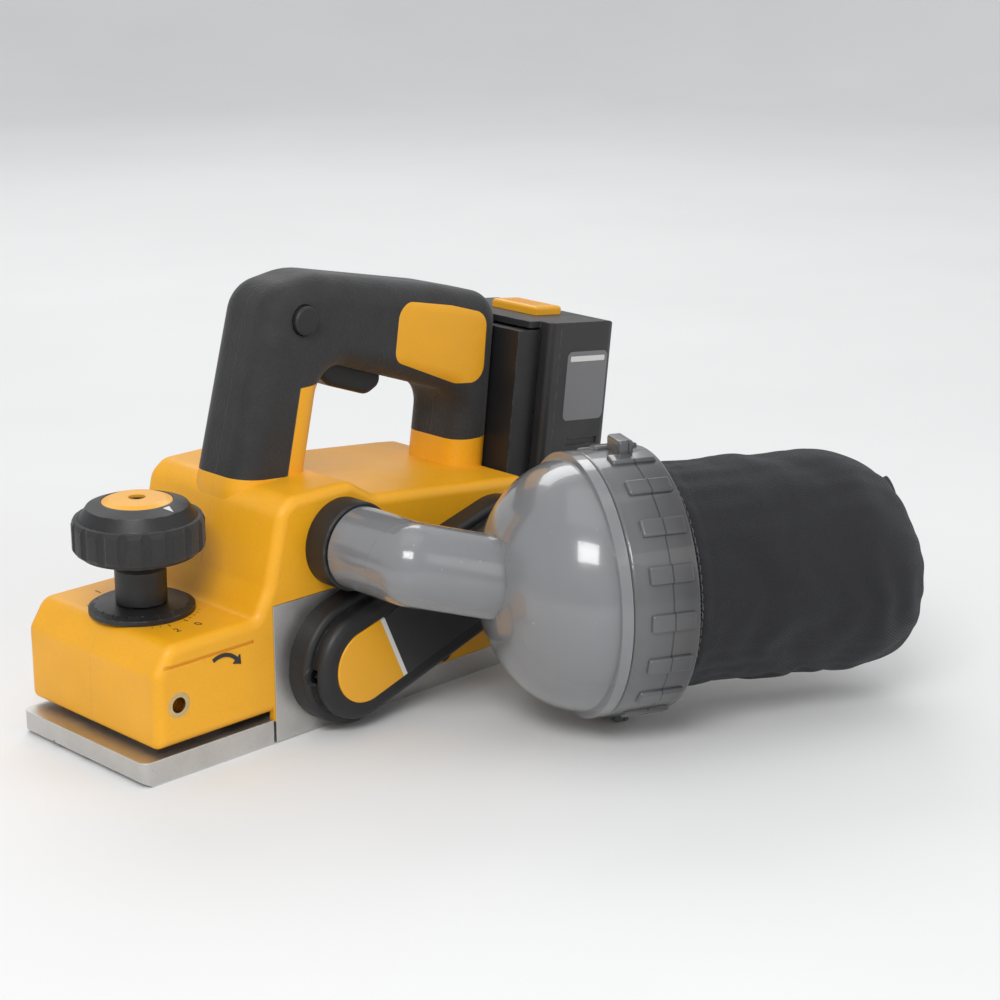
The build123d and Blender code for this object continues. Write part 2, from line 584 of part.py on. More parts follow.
def controller():
    box = block(-56, -28, -36, 36, 28, 58)
    for row in range(8):
        y = -31.5 + 8.4 * row
        box -= block(-57, -27, y, y + 4.2, 50, 59)
    return box


# ---------------------------------------------------------------- dust bag
ELBOW = Vector(PORT_X, ELBOW_Y, PORT_Z)
YAW = math.radians(BAG_YAW)
BAG_AXIS = Vector(math.cos(YAW), -math.sin(YAW), 0)
FLANGE = ELBOW + BAG_AXIS * FLANGE_REACH + Vector(0, 0, -FLANGE_DROP)
# Bag frame: local z along the bag from the flange, local x straight up.
BAG_FRAME = Plane(origin=FLANGE, x_dir=(0, 0, 1), z_dir=BAG_AXIS).location
SPIGOT_RADIUS = 15.0
SPIGOT_INNER_Y = -46.0


def nozzle_solid(radius):
    """Elbow and straight nozzle of one radius, ending inside the dome."""
    toward_dome = (FLANGE - BAG_AXIS * 30 + Vector(0, 0, 5) - ELBOW).normalized()
    arm = rod_y(PORT_X, PORT_Z, radius, ELBOW_Y, COLLAR_END_Y - 0.6)
    ball = Pos(ELBOW) * Sphere(radius)
    tube_plane = Plane(origin=ELBOW, z_dir=toward_dome)
    tube = extrude(tube_plane * Circle(radius), amount=48)
    return arm + ball + tube


def dome_profile(radius, depth, rear):
    """Half section of a shallow dome, closed at its rear plane, as a face to revolve."""
    quarter = EllipticalCenterArc((0, 0), radius, depth, start_angle=270, arc_size=90)
    lines = quarter + Line((radius, 0), (radius, rear)) + Line((radius, rear), (0, rear)) + Line((0, rear), (0, -depth))
    return revolve(Plane.XZ * make_face(lines.edges()), Axis.Z, 360)


def bag_dome_hollow():
    rim, wall = FLANGE_RADIUS - 3.5, DOME_WALL
    hollow = dome_profile(rim + 1.0 - wall, DOME_DEPTH - wall, 0.3)
    return BAG_FRAME * (hollow + Pos(0, 0, 5) * Cylinder(rim - wall - 1.0, 20))


def bag_dome():
    rim = FLANGE_RADIUS - 3.5
    shell = dome_profile(rim + 1.0, DOME_DEPTH, 0.2)
    shell += Pos(0, 0, -2.0) * Cylinder(FLANGE_RADIUS, 5.0) + Pos(0, 0, 5) * Cylinder(rim - 1.0, 10)
    return BAG_FRAME * shell - bag_dome_hollow() - nozzle_solid(NOZZLE_RADIUS + 0.05)


def bag_nozzle():
    """Elbow from the port to the dome, with the thin spigot that the seal grips."""
    spigot = rod_y(PORT_X, PORT_Z, SPIGOT_RADIUS, COLLAR_END_Y - 1, SPIGOT_INNER_Y)
    spigot_bore = rod_y(PORT_X, PORT_Z, SPIGOT_RADIUS - 2, COLLAR_END_Y - 20, SPIGOT_INNER_Y + 1)
    bore = nozzle_solid(NOZZLE_RADIUS - NOZZLE_WALL) & block(-400, 400, -400, COLLAR_END_Y - 3, -50, 300)
    return nozzle_solid(NOZZLE_RADIUS) + spigot - bag_dome_hollow() - bore - spigot_bore


RIB_COUNT = 18
LUG_Z = 17.5


def bag_ring():
    inner, low, high = FLANGE_RADIUS - 4.0, 0.9, 0.9 + RING_LENGTH
    ring = Pos(0, 0, (low + high) / 2) * (Cylinder(FLANGE_RADIUS, RING_LENGTH) - Cylinder(inner, RING_LENGTH + 2))
    ring = fillet(ring.edges().filter_by(GeomType.CIRCLE).sort_by(SortBy.RADIUS)[-2:], 1.4)
    for index in range(RIB_COUNT):
        rib = Pos(FLANGE_RADIUS - 0.6, 0, high - 12.5) * fillet(Box(4.4, 8, 20).edges(), 1.3)
        ring += Rot(0, 0, 10 + index * 360 / RIB_COUNT) * rib
    for angle in (0, 180):
        lug = Pos(FLANGE_RADIUS + 2.4, 0, LUG_Z) * fillet(Box(8, 14, 7).edges(), 1.5)
        ring += Rot(0, 0, angle) * lug
    ring += Pos(0, 0, high - 1.2) * (Cylinder(inner + 1, 2.4) - Cylinder(BAG_RADIUS - BAG_SEAM, 3))
    return BAG_FRAME * ring


def dust_bag():
    """Closed solid of the blown-up bag, from the ring to its rounded end."""
    start = 0.9 + RING_LENGTH + 0.05
    end = start + BAG_LENGTH
    corner = 44.0
    side = Line((BAG_RADIUS, start), (BAG_RADIUS, end - corner))
    bulge = RadiusArc((BAG_RADIUS, end - corner), (BAG_RADIUS - corner + 6, end), -corner)
    cap = Line((BAG_RADIUS - corner + 6, end), (0, end))
    profile = side + bulge + cap + Line((0, end), (0, start)) + Line((0, start), (BAG_RADIUS, start))
    return BAG_FRAME * revolve(Plane.XZ * make_face(profile.edges()), Axis.Z, 360)


def nozzle_seal():
    return ring_y(PORT_X, PORT_Z, PORT_BORE - 0.1, SPIGOT_RADIUS + 0.05, COLLAR_END_Y + 0.5, -48.0)


# ---------------------------------------------------------------- assembly
def build():
    parts = {}
    parts.update(housing())
    parts.update(battery_parts())
    parts["battery_mount"] = battery_mount()
    parts["battery_terminals"] = battery_terminals()
    parts["base_casting"] = base_casting()
    parts["base_screws"] = base_screws()
    parts["kickstand"] = kickstand()
    parts["kickstand_pin"] = rod_y(KICKSTAND_X, KICKSTAND_Z, 2.0, -11, 11)
    parts["front_shoe"] = front_shoe()
    parts["shoe_nut"] = shoe_nut()
    parts.update(depth_knob_parts())
    parts["depth_collar"] = depth_collar()
    parts["shoe_spring"] = shoe_spring()
    parts.update(drum_parts())
    for side, name in ((-1, "drum_bearing_left"), (1, "drum_bearing_right")):
        low, high = sorted((side * BEARING_LOW_Y, side * HALF_WIDTH))
        parts[name] = ring_y(DRUM_X, DRUM_Z, BEARING_OUTER, BEARING_BORE, low, high)
    parts["drum_bearing_cap"] = fillet(
        rim_edges(rod_y(DRUM_X, DRUM_Z, 14.2, HALF_WIDTH, HALF_WIDTH + 2.2), HALF_WIDTH + 2.2), 1)
    parts["drum_pulley"] = pulley(DRUM_X, DRUM_Z, DRUM_PULLEY_RADIUS, BEARING_BORE - 0.05)
    parts["motor_pulley"] = pulley(MOTOR_X, MOTOR_Z, MOTOR_PULLEY_RADIUS, MOTOR_SHAFT_RADIUS - 0.05)
    parts["drive_belt"] = drive_belt()
    parts.update(belt_cover_parts())
    parts.update(motor_parts())
    parts["vent_grille"] = vent_grille()
    parts["chip_chute"] = chip_chute()
    parts["port_collar"] = port_collar()
    parts["trigger"] = trigger()
    parts["trigger_pin"] = rod_y(TRIGGER_X, TRIGGER_Z, 2.0, -14, 14)
    parts["lock_off_button"] = lock_off_button()
    parts["trigger_switch"] = trigger_switch()
    parts["controller"] = controller()
    parts["housing_screws"] = Compound([
        screw_solid(x, z, face_y, 0) - Pos(x, face_y, z) * Rot(90, 0, 0) * Cylinder(1.7, 3)
        for x, z, face_y in SCREW_POINTS
    ])
    parts["fence_inserts"] = Compound([
        ring_y(FENCE_X, FENCE_Z, 5.5, FENCE_BORE, *sorted((s * (HALF_WIDTH - FENCE_DEPTH), s * HALF_WIDTH)))
        for s in (-1, 1)
    ])
    parts["bag_dome"] = bag_dome()
    parts["bag_nozzle"] = bag_nozzle()
    parts["bag_ring"] = bag_ring()
    parts["dust_bag"] = dust_bag()
    parts["nozzle_seal"] = nozzle_seal()
    return parts


def main():
    os.makedirs("parts", exist_ok=True)
    for old in os.listdir("parts"):
        os.remove(os.path.join("parts", old))
    parts = build()
    for name, shape in sorted(parts.items()):
        export_step(shape, f"parts/{name}.step")
    print(len(parts), "nodes")


main()
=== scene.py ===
"""Looks of the cordless hand planer with its dust bag: finishes, cloth bag, trim, light and camera."""
import json
import math

import bpy
from mathutils import Matrix, Vector, noise


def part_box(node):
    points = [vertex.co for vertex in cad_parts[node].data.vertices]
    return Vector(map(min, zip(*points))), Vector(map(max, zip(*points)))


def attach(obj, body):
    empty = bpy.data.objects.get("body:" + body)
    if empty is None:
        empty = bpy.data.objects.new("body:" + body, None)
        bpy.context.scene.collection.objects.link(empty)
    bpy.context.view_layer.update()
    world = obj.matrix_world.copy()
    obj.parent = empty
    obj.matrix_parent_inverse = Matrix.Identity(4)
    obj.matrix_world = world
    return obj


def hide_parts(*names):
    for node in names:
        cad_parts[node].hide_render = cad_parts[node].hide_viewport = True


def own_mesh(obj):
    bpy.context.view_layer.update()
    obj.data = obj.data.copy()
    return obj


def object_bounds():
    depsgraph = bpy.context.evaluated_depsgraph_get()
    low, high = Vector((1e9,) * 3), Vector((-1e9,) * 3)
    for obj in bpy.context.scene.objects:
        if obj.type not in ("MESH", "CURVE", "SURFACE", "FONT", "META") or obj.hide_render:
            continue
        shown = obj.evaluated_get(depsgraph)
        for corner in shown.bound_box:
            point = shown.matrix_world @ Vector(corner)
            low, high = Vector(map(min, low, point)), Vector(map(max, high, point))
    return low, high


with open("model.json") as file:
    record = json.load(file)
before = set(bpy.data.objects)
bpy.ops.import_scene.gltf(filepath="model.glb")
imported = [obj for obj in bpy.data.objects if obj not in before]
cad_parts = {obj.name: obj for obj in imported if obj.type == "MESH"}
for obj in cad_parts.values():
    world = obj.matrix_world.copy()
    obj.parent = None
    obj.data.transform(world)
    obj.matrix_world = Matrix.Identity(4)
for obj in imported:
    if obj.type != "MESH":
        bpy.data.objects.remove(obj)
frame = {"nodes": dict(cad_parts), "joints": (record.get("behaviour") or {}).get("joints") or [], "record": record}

CAD_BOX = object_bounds()
NODES = frame["nodes"]
JOINTS = {joint["name"]: joint for joint in frame["joints"]}
MM = 0.001

TWIST = JOINTS["bag_ring_twist"]
BAG_AXIS = Vector(TWIST["axis"]).normalized()
BAG_UP = Vector((0, 0, 1))
BAG_SIDE = BAG_AXIS.cross(BAG_UP).normalized()
BAG_ORIGIN = Vector(TWIST["pos_m"])
# Local x is up, local y is sideways, local z runs along the bag.
BAG_FRAME = Matrix((
    (BAG_UP.x, BAG_SIDE.x, BAG_AXIS.x, BAG_ORIGIN.x),
    (BAG_UP.y, BAG_SIDE.y, BAG_AXIS.y, BAG_ORIGIN.y),
    (BAG_UP.z, BAG_SIDE.z, BAG_AXIS.z, BAG_ORIGIN.z),
    (0, 0, 0, 1),
))


# ---------------------------------------------------------------- material building
class Mat:
    """One node material, with short calls for the textures that every finish here is made of."""

    def __init__(self, name, rough=0.5, metal=0.0, **sockets):
        self.material = bpy.data.materials.new(name)
        self.material.use_nodes = True
        self.tree = self.material.node_tree
        self.shader = self.tree.nodes["Principled BSDF"]
        self.shader.inputs["Roughness"].default_value = rough
        self.shader.inputs["Metallic"].default_value = metal
        for socket, value in sockets.items():
            self.shader.inputs[socket.replace("_", " ")].default_value = value
        self.coords = self.tree.nodes.new("ShaderNodeTexCoord").outputs["Object"]
        self.normal = None

    def node(self, kind, **inputs):
        """A node whose inputs are given by name, or as i0, i1 and so on by number."""
        made = self.tree.nodes.new(kind)
        for key, value in inputs.items():
            numbered = key[0] == "i" and key[1:].isdigit()
            self.feed(made.inputs[int(key[1:]) if numbered else key.replace("_", " ")], value)
        return made

    def feed(self, socket, value):
        if isinstance(value, bpy.types.NodeSocket):
            self.tree.links.new(value, socket)
        elif socket.type == "RGBA" and not hasattr(value, "__len__"):
            socket.default_value = (value, value, value, 1)
        elif socket.type == "RGBA":
            socket.default_value = (*value[:3], 1)
        else:
            socket.default_value = value

    def stretch(self, scale, turn=(0, 0, 0), source=None):
        mapping = self.node("ShaderNodeMapping", Vector=source or self.coords)
        mapping.inputs["Scale"].default_value = scale
        mapping.inputs["Rotation"].default_value = turn
        return mapping.outputs[0]

    def noise(self, scale, detail, where=None):
        where = where or self.coords
        made = self.node("ShaderNodeTexNoise", Vector=where, Scale=scale, Detail=detail, Roughness=0.55)
        return made.outputs["Fac"]

    def cells(self, scale):
        made = self.node("ShaderNodeTexVoronoi", Vector=self.coords, Scale=scale)
        return made.outputs["Distance"]

    def math(self, operation, a, b=0.0, clamp=False):
        made = self.node("ShaderNodeMath", i0=a, i1=b)
        made.operation = operation
        made.use_clamp = clamp
        return made.outputs[0]

    def span(self, value, low, high, to_low=0.0, to_high=1.0):
        made = self.node("ShaderNodeMapRange", i0=value, i1=low, i2=high, i3=to_low, i4=to_high)
        return made.outputs[0]

    def mix(self, fac, a, b):
        made = self.tree.nodes.new("ShaderNodeMix")
        made.data_type = "RGBA"
        colours = [s for s in made.inputs if s.type == "RGBA"]
        self.feed(made.inputs[0], fac)
        self.feed(colours[0], a)
        self.feed(colours[1], b)
        return next(s for s in made.outputs if s.type == "RGBA")

    def bump(self, height, depth, strength=1.0):
        """depth is how far the full height stands out, in metres."""
        made = self.node("ShaderNodeBump", Height=height, Distance=depth, Strength=strength)
        if self.normal is not None:
            self.tree.links.new(self.normal, made.inputs["Normal"])
        self.normal = made.outputs[0]

    def soft_edges(self, radius):
        made = self.node("ShaderNodeBevel", Radius=radius)
        made.samples = 4
        self.normal = made.outputs[0]

    def edge_wear(self, radius, low=0.002, high=0.05):
        """1 on outer and inner corners within the radius, 0 on flat faces."""
        bevel = self.node("ShaderNodeBevel", Radius=radius)
        bevel.samples = 4
        flat = self.tree.nodes.new("ShaderNodeNewGeometry").outputs["Normal"]
        dot = self.tree.nodes.new("ShaderNodeVectorMath")
        dot.operation = "DOT_PRODUCT"
        self.tree.links.new(bevel.outputs[0], dot.inputs[0])
        self.tree.links.new(flat, dot.inputs[1])
        lost = self.math("SUBTRACT", 1.0, dot.outputs["Value"])
        return self.span(lost, low, high)

    def reach(self, origin, direction):
        """Distance from a point along a direction, in metres."""
        offset = self.tree.nodes.new("ShaderNodeVectorMath")
        offset.operation = "SUBTRACT"
        self.tree.links.new(self.coords, offset.inputs[0])
        offset.inputs[1].default_value = origin
        dot = self.tree.nodes.new("ShaderNodeVectorMath")
        dot.operation = "DOT_PRODUCT"
        self.tree.links.new(offset.outputs[0], dot.inputs[0])
        dot.inputs[1].default_value = direction
        return dot.outputs["Value"]

    def axis(self, index):
        made = self.node("ShaderNodeSeparateXYZ", Vector=self.coords)
        return made.outputs[index]

    def done(self, colour, rough):
        self.feed(self.shader.inputs["Base Color"], colour)
        self.feed(self.shader.inputs["Roughness"], rough)
        if self.normal is not None:
            self.tree.links.new(self.normal, self.shader.inputs["Normal"])
        return self.material


YELLOW = (0.86, 0.4, 0.008)
BLACK = (0.013, 0.013, 0.014)
WHITE_INK = (0.75, 0.75, 0.72)
MOULD_LINE_AT = 0.0185          # along the bag from its flange
STRIP_FOOT = (0.092, 0.070)     # the yellow strip's foot: how far ahead of the origin, and its height
STRIP_LEAN, STRIP_FRONT, STRIP_REAR, STRIP_TOP = 0.2289, -0.0142, 0.0040, 0.1445
PRINT_EDGE = 0.0002             # width over which a printed edge fades


def shade(colour, factor):
    return tuple(min(1.0, c * factor) for c in colour)


def moulded(name, colour, rough=0.42, grain=1500, depth=0.00003, wear=0.35, coat=0.0):
    """Injection-moulded plastic: spark-eroded grain, handling marks, corners rubbed a little paler."""
    m = Mat(name, rough, Coat_Weight=coat, Coat_Roughness=0.2)
    m.soft_edges(0.0004)
    patches = m.noise(26, 4)
    speck = m.noise(900, 2)
    tone = m.mix(m.span(patches, 0.3, 0.7), shade(colour, 0.93), shade(colour, 1.05))
    tone = m.mix(m.span(speck, 0.45, 0.75, 0, 0.25), tone, shade(colour, 0.8))
    rub = m.math("MULTIPLY", m.edge_wear(0.0009), m.span(m.noise(240, 4), 0.45, 0.62), clamp=True)
    worn = tuple(c * 0.75 + 0.12 for c in colour)
    tone = m.mix(m.math("MULTIPLY", rub, wear), tone, worn)
    m.bump(m.noise(grain, 2), depth)
    m.bump(m.noise(90, 3), depth * 0.6)
    smudge = m.span(m.noise(38, 5), 0.35, 0.7, rough - 0.06, rough + 0.1)
    return m.done(tone, m.math("SUBTRACT", smudge, m.math("MULTIPLY", rub, 0.1)))


def overmould(name, colour, pitch=1.5):
    """Soft grip rubber with a field of small raised dots, their tops painted lighter as a highlight, and a dusty
    bloom in its hollows.
    """
    m = Mat(name, 0.72, Sheen_Weight=0.12, Sheen_Roughness=0.5)
    m.soft_edges(0.0006)
    dots = m.cells(1000 / pitch)
    dot_height_and_highlight = m.span(dots, 0.15, 0.55, 1.0, 0.0)
    bloom = m.span(m.noise(45, 5), 0.42, 0.72)
    tone = m.mix(m.math("MULTIPLY", bloom, 0.35), colour, shade(colour, 2.0))
    # Painted highlight: the raised dots are painted lighter than the rubber between them.
    tone = m.mix(m.math("MULTIPLY", dot_height_and_highlight, 0.25), tone, shade(colour, 1.5))
    # The handle's front strut shows a strip of the yellow shell along the finger loop.
    lean = m.math("MULTIPLY", m.math("SUBTRACT", m.axis(2), STRIP_FOOT[1]), STRIP_LEAN)
    edge = m.math("SUBTRACT", m.math("ADD", m.axis(0), STRIP_FOOT[0]), lean)
    ahead_of_rear = m.span(edge, STRIP_REAR, STRIP_REAR + PRINT_EDGE, 1.0, 0.0)
    strip = m.math("MULTIPLY", m.span(edge, STRIP_FRONT, STRIP_FRONT + PRINT_EDGE), ahead_of_rear)
    below_top = m.span(m.axis(2), STRIP_TOP, STRIP_TOP + PRINT_EDGE, 1.0, 0.0)
    strip = m.math("MULTIPLY", strip, below_top)
    tone = m.mix(strip, tone, YELLOW)
    from_lip = m.math("ABSOLUTE", m.math("SUBTRACT", edge, STRIP_FRONT + PRINT_EDGE / 2))
    lip = m.span(from_lip, 0.0002, 0.0006, -1.0, 0.0)
    m.bump(m.math("MULTIPLY", lip, below_top), 0.0004)
    m.bump(m.math("MULTIPLY", dot_height_and_highlight, m.math("SUBTRACT", 1.0, strip)), 0.00012, 0.8)
    m.bump(m.noise(1800, 2), 0.00002)
    dull = m.span(m.noise(60, 4), 0.3, 0.7, 0.6, 0.82)
    return m.done(tone, m.math("SUBTRACT", dull, m.math("MULTIPLY", strip, 0.28)))


def turned_metal(name, colour, rough=0.28, stretch=(60, 2400, 60), oxide=0.0):
    """Machined metal with fine tool lines along one direction and faint stains."""
    m = Mat(name, rough, 1.0)
    m.soft_edges(0.0003)
    lines = m.noise(1.0, 3, where=m.stretch(stretch))
    stain = m.noise(55, 5)
    tone = m.mix(m.span(stain, 0.35, 0.75), colour, shade(colour, 0.72 - 0.2 * oxide))
    bright = m.math("MULTIPLY", m.edge_wear(0.0006), 0.6)
    tone = m.mix(bright, tone, shade(colour, 1.25))
    m.bump(lines, 0.00001, 0.7)
    return m.done(tone, m.span(lines, 0.3, 0.7, rough - 0.08, rough + 0.12))


def cast_metal(name, colour):
    """Die-cast aluminium whose underside is milled flat: pebbled sides, straight cutter lines below."""
    m = Mat(name, 0.42, 1.0)
    m.soft_edges(0.0005)
    pebble = m.noise(1100, 3)
    flow = m.noise(32, 5)
    sole = m.span(m.axis(2), 0.0003, 0.0009, 1.0, 0.0)
    lines = m.noise(1.0, 2, where=m.stretch((26, 3200, 26)))
    tone = m.mix(m.span(flow, 0.3, 0.72), shade(colour, 0.84), shade(colour, 1.08))
    tone = m.mix(m.span(pebble, 0.55, 0.8, 0, 0.35), tone, shade(colour, 0.6))
    tone = m.mix(m.math("MULTIPLY", m.edge_wear(0.0008), 0.7), tone, shade(colour, 1.35))
    tone = m.mix(sole, tone, m.mix(lines, shade(colour, 0.9), shade(colour, 1.2)))
    m.bump(m.math("MULTIPLY", pebble, m.math("SUBTRACT", 1.0, sole)), 0.00006)
    m.bump(m.math("MULTIPLY", lines, sole), 0.00002)
    rough = m.span(flow, 0.3, 0.7, 0.36, 0.5)
    return m.done(tone, m.math("SUBTRACT", rough, m.math("MULTIPLY", sole, 0.14)))


def smoky(name, front, rear, transmission, rough, haze):
    """Smoke-tinted clear plastic with painted shade that darkens it towards the bag, with a parting line, scuffs
    and a film of dust.
    """
    m = Mat(name, rough, Transmission_Weight=transmission, IOR=1.49, Coat_Weight=0.7, Coat_Roughness=0.05)
    along = m.reach(BAG_ORIGIN, BAG_AXIS)
    aside = m.math("ABSOLUTE", m.reach(BAG_ORIGIN, BAG_SIDE))
    film = m.span(m.noise(34, 5), 0.4, 0.75)
    scuff = m.noise(1.0, 2, where=m.stretch((700, 30, 700), turn=(0.4, 0.2, 0.7)))
    # Painted shade: the colour darkens from the front colour to the rear colour along the bag.
    tone = m.mix(m.span(along, 0.006, 0.026), front, rear)
    from_line = m.math("ABSOLUTE", m.math("SUBTRACT", along, MOULD_LINE_AT))
    mould_line = m.span(from_line, 0.00015, 0.0004, 1.0, 0.0)
    tone = m.mix(m.math("MULTIPLY", mould_line, 0.8), tone, (0.01, 0.01, 0.01))
    m.bump(mould_line, -0.0003)
    tone = m.mix(m.math("MULTIPLY", film, haze), tone, (0.42, 0.37, 0.3))
    m.bump(m.noise(60, 3), 0.00006)
    m.bump(m.span(aside, 0.0001, 0.0003, 1.0, 0.0), 0.00012)
    return m.done(tone, m.span(scuff, 0.5, 0.8, rough, rough + 0.08))


def woven(name, colour, pitch=0.85):
    """Plain weave in the cloth's own lengthways and crossways coordinates, which are metres, with the thread
    crowns painted lighter as a highlight.
    """
    m = Mat(name, 0.82, Sheen_Weight=0.1, Sheen_Roughness=0.4, Sheen_Tint=(0.75, 0.8, 0.9, 1))
    uv = m.tree.nodes.new("ShaderNodeTexCoord").outputs["UV"]
    parts = m.node("ShaderNodeSeparateXYZ", Vector=uv)
    rate = math.pi / (pitch * MM)
    threads = []
    for axis in (0, 1):
        phase = m.math("MULTIPLY", parts.outputs[axis], rate)
        threads.append(m.math("SINE", phase))
    over = m.span(m.math("MULTIPLY", threads[0], threads[1]), -0.15, 0.15)
    round_warp = m.math("ABSOLUTE", threads[0])
    round_weft = m.math("ABSOLUTE", threads[1])
    height = m.math("ADD", m.math("MULTIPLY", round_warp, over),
                    m.math("MULTIPLY", round_weft, m.math("SUBTRACT", 1.0, over)))
    fibre = m.noise(1.0, 2, where=m.stretch((5200, 900, 1), source=uv))
    fade = m.noise(20, 5)
    tone = m.mix(m.span(fade, 0.3, 0.75), colour, shade(colour, 1.6))
    # Painted highlight: the crowns of the threads are painted lighter.
    tone = m.mix(m.math("MULTIPLY", height, 0.4), tone, shade(colour, 2.4))
    tone = m.mix(m.span(m.noise(140, 6), 0.66, 0.85, 0, 0.12), tone, (0.16, 0.13, 0.09))
    m.bump(height, 0.00022, 0.9)
    m.bump(fibre, 0.00004, 0.6)
    return m.done(tone, m.span(fibre, 0.3, 0.7, 0.74, 0.9))


def banded_badge(name, yellow, dark):
    """Printed film: plain yellow ends and a dark middle panel with thin border lines."""
    m = Mat(name, 0.36, Coat_Weight=0.35, Coat_Roughness=0.15)
    x = m.math("ADD", m.axis(0), m.math("MULTIPLY", m.axis(2), 0.45))
    middle = m.math("MULTIPLY", m.span(x, -0.0613, -0.0611), m.span(x, 0.0078, 0.0080, 1.0, 0.0))
    border = m.math("MULTIPLY", m.span(x, -0.0638, -0.0636), m.span(x, 0.0103, 0.0105, 1.0, 0.0))
    line = m.math("SUBTRACT", border, middle, clamp=True)
    print_dots = m.noise(2600, 1)
    tone = m.mix(m.span(print_dots, 0.4, 0.6, 0, 0.08), yellow, shade(yellow, 0.8))
    tone = m.mix(line, tone, WHITE_INK)
    tone = m.mix(middle, tone, m.mix(m.noise(70, 4), dark, shade(dark, 1.7)))
    m.bump(m.noise(60, 3), 0.00002)
    return m.done(tone, m.span(m.noise(50, 4), 0.3, 0.7, 0.28, 0.44))


MATERIALS = {
    "yellow_housing": moulded("yellow_moulding", YELLOW, 0.4, 1300, 0.00003, 0.3),
    "black_plastic": moulded("black_moulding", BLACK, 0.44, 1200, 0.00005, 0.5),
    "battery_black": moulded("battery_moulding", (0.022, 0.022, 0.023), 0.48, 900, 0.00006, 0.5),
    "black_grip": overmould("grip_rubber", (0.016, 0.016, 0.017)),
    "cast_aluminium": cast_metal("cast_aluminium_finish", (0.62, 0.61, 0.59)),
    "steel": turned_metal("steel_finish", (0.58, 0.57, 0.56)),
    "dark_steel": turned_metal("black_oxide", (0.09, 0.09, 0.095), 0.36, oxide=1.0),
    "copper_windings": turned_metal("copper_wire", (0.66, 0.3, 0.12), 0.3, (3000, 60, 3000)),
    "belt_rubber": overmould("belt_rubber_finish", (0.012, 0.012, 0.012), 2.2),
    "badge_label": moulded("yellow_trim", YELLOW, 0.36, 1500, 0.00002, 0.3, 0.2),
    "cell_sleeve": moulded("cell_sleeve_finish", (0.05, 0.18, 0.32), 0.3),
    # The smoky finishes are painted darker towards the bag as shade.
    "smoke_clear": smoky("smoky_clear", (0.47, 0.48, 0.5), (0.36, 0.37, 0.39), 0.62, 0.2, 0.12),
    "smoke_ring": smoky("smoky_dark", (0.15, 0.155, 0.16), (0.055, 0.056, 0.06), 0.3, 0.3, 0.06),
    "bag_cloth": woven("bag_weave", (0.007, 0.007, 0.008)),
    "pin_brass": turned_metal("plated_brass", (0.72, 0.55, 0.27), 0.25),
    "seal_rubber": overmould("seal_rubber_finish", (0.02, 0.02, 0.02), 2.0),
    "thread": moulded("sewing_thread", (0.11, 0.11, 0.112), 0.7, 4000, 0.00008, 0.0),
    "thread_tape": woven("seam_tape", (0.03, 0.03, 0.031), 0.6),
    "white_print": moulded("white_print", (0.72, 0.72, 0.7), 0.5, 2200, 0.00001, 0.1),
    "black_print": moulded("black_print", (0.02, 0.02, 0.02), 0.5, 2200, 0.00001, 0.1),
    "grey_print": moulded("grey_print", (0.2, 0.2, 0.2), 0.5, 2200, 0.00001, 0.1),
    "label_film": moulded("label_film", (0.16, 0.16, 0.165), 0.34, 2600, 0.00001, 0.25, 0.3),
    "panel_gloss": moulded("panel_gloss", (0.012, 0.012, 0.013), 0.2, 2600, 0.00001, 0.2, 0.6),
    "lamp": moulded("lamp_window", (0.45, 0.5, 0.42), 0.25, 2600, 0.00001, 0.0, 0.5),
}
SPECIAL = {"belt_cover_badge": banded_badge("badge_print", YELLOW, (0.02, 0.02, 0.022))}

for part in frame["record"]["subparts"]:
    body = NODES[part["node"]]
    finish = SPECIAL.get(part["node"], MATERIALS[part["material_slot"]])
    for index in range(len(body.data.materials)):
        body.data.materials[index] = finish
    if not body.data.materials:
        body.data.materials.append(finish)


# ---------------------------------------------------------------- mesh helpers
def make_piece(name, verts, faces, material, body, slot, smooth=True, matrix=None):
    mesh = bpy.data.meshes.new(name)
    mesh.from_pydata([tuple(v) for v in verts], [], faces)
    mesh.materials.append(material)
    if matrix is not None:
        mesh.transform(matrix)
    for polygon in mesh.polygons:
        polygon.use_smooth = smooth
    mesh.update()
    piece = bpy.data.objects.new(name, mesh)
    bpy.context.scene.collection.objects.link(piece)
    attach(piece, body)
    return piece


def apply_modifiers(piece):
    """Replaces the piece's mesh with what its modifiers make."""
    graph = bpy.context.evaluated_depsgraph_get()
    graph.update()
    baked = bpy.data.meshes.new_from_object(piece.evaluated_get(graph), depsgraph=graph)
    piece.modifiers.clear()
    old = piece.data
    piece.data = baked
    bpy.data.meshes.remove(old)


def tube_along(points, radius, sides=8, closed=False):
    """Verts and faces of a thin round bead through points."""
    verts, faces = [], []
    count = len(points)
    side = Vector((0, 0, 1))
    for i, point in enumerate(points):
        ahead = points[(i + 1) % count] if closed or i + 1 < count else points[i]
        behind = points[i - 1] if closed or i > 0 else points[i]
        along = (ahead - behind).normalized()
        side = (side - along * side.dot(along)).normalized()
        up = along.cross(side)
        for k in range(sides):
            angle = 2 * math.pi * k / sides
            verts.append(point + (side * math.cos(angle) + up * math.sin(angle)) * radius)
    rings = count if closed else count - 1
    for i in range(rings):
        for k in range(sides):
            a, b = i * sides, ((i + 1) % count) * sides
            faces.append((a + k, a + (k + 1) % sides, b + (k + 1) % sides, b + k))
    if not closed:
        faces.append(tuple(reversed(range(sides))))
        faces.append(tuple((count - 1) * sides + k for k in range(sides)))
    return verts, faces


# ---------------------------------------------------------------- the cloth bag
def extent_along(node):
    """How far along the bag's axis a node reaches, from the flange."""
    reach = [(v.co - BAG_ORIGIN).dot(BAG_AXIS) for v in NODES[node].data.vertices]
    return min(reach), max(reach)


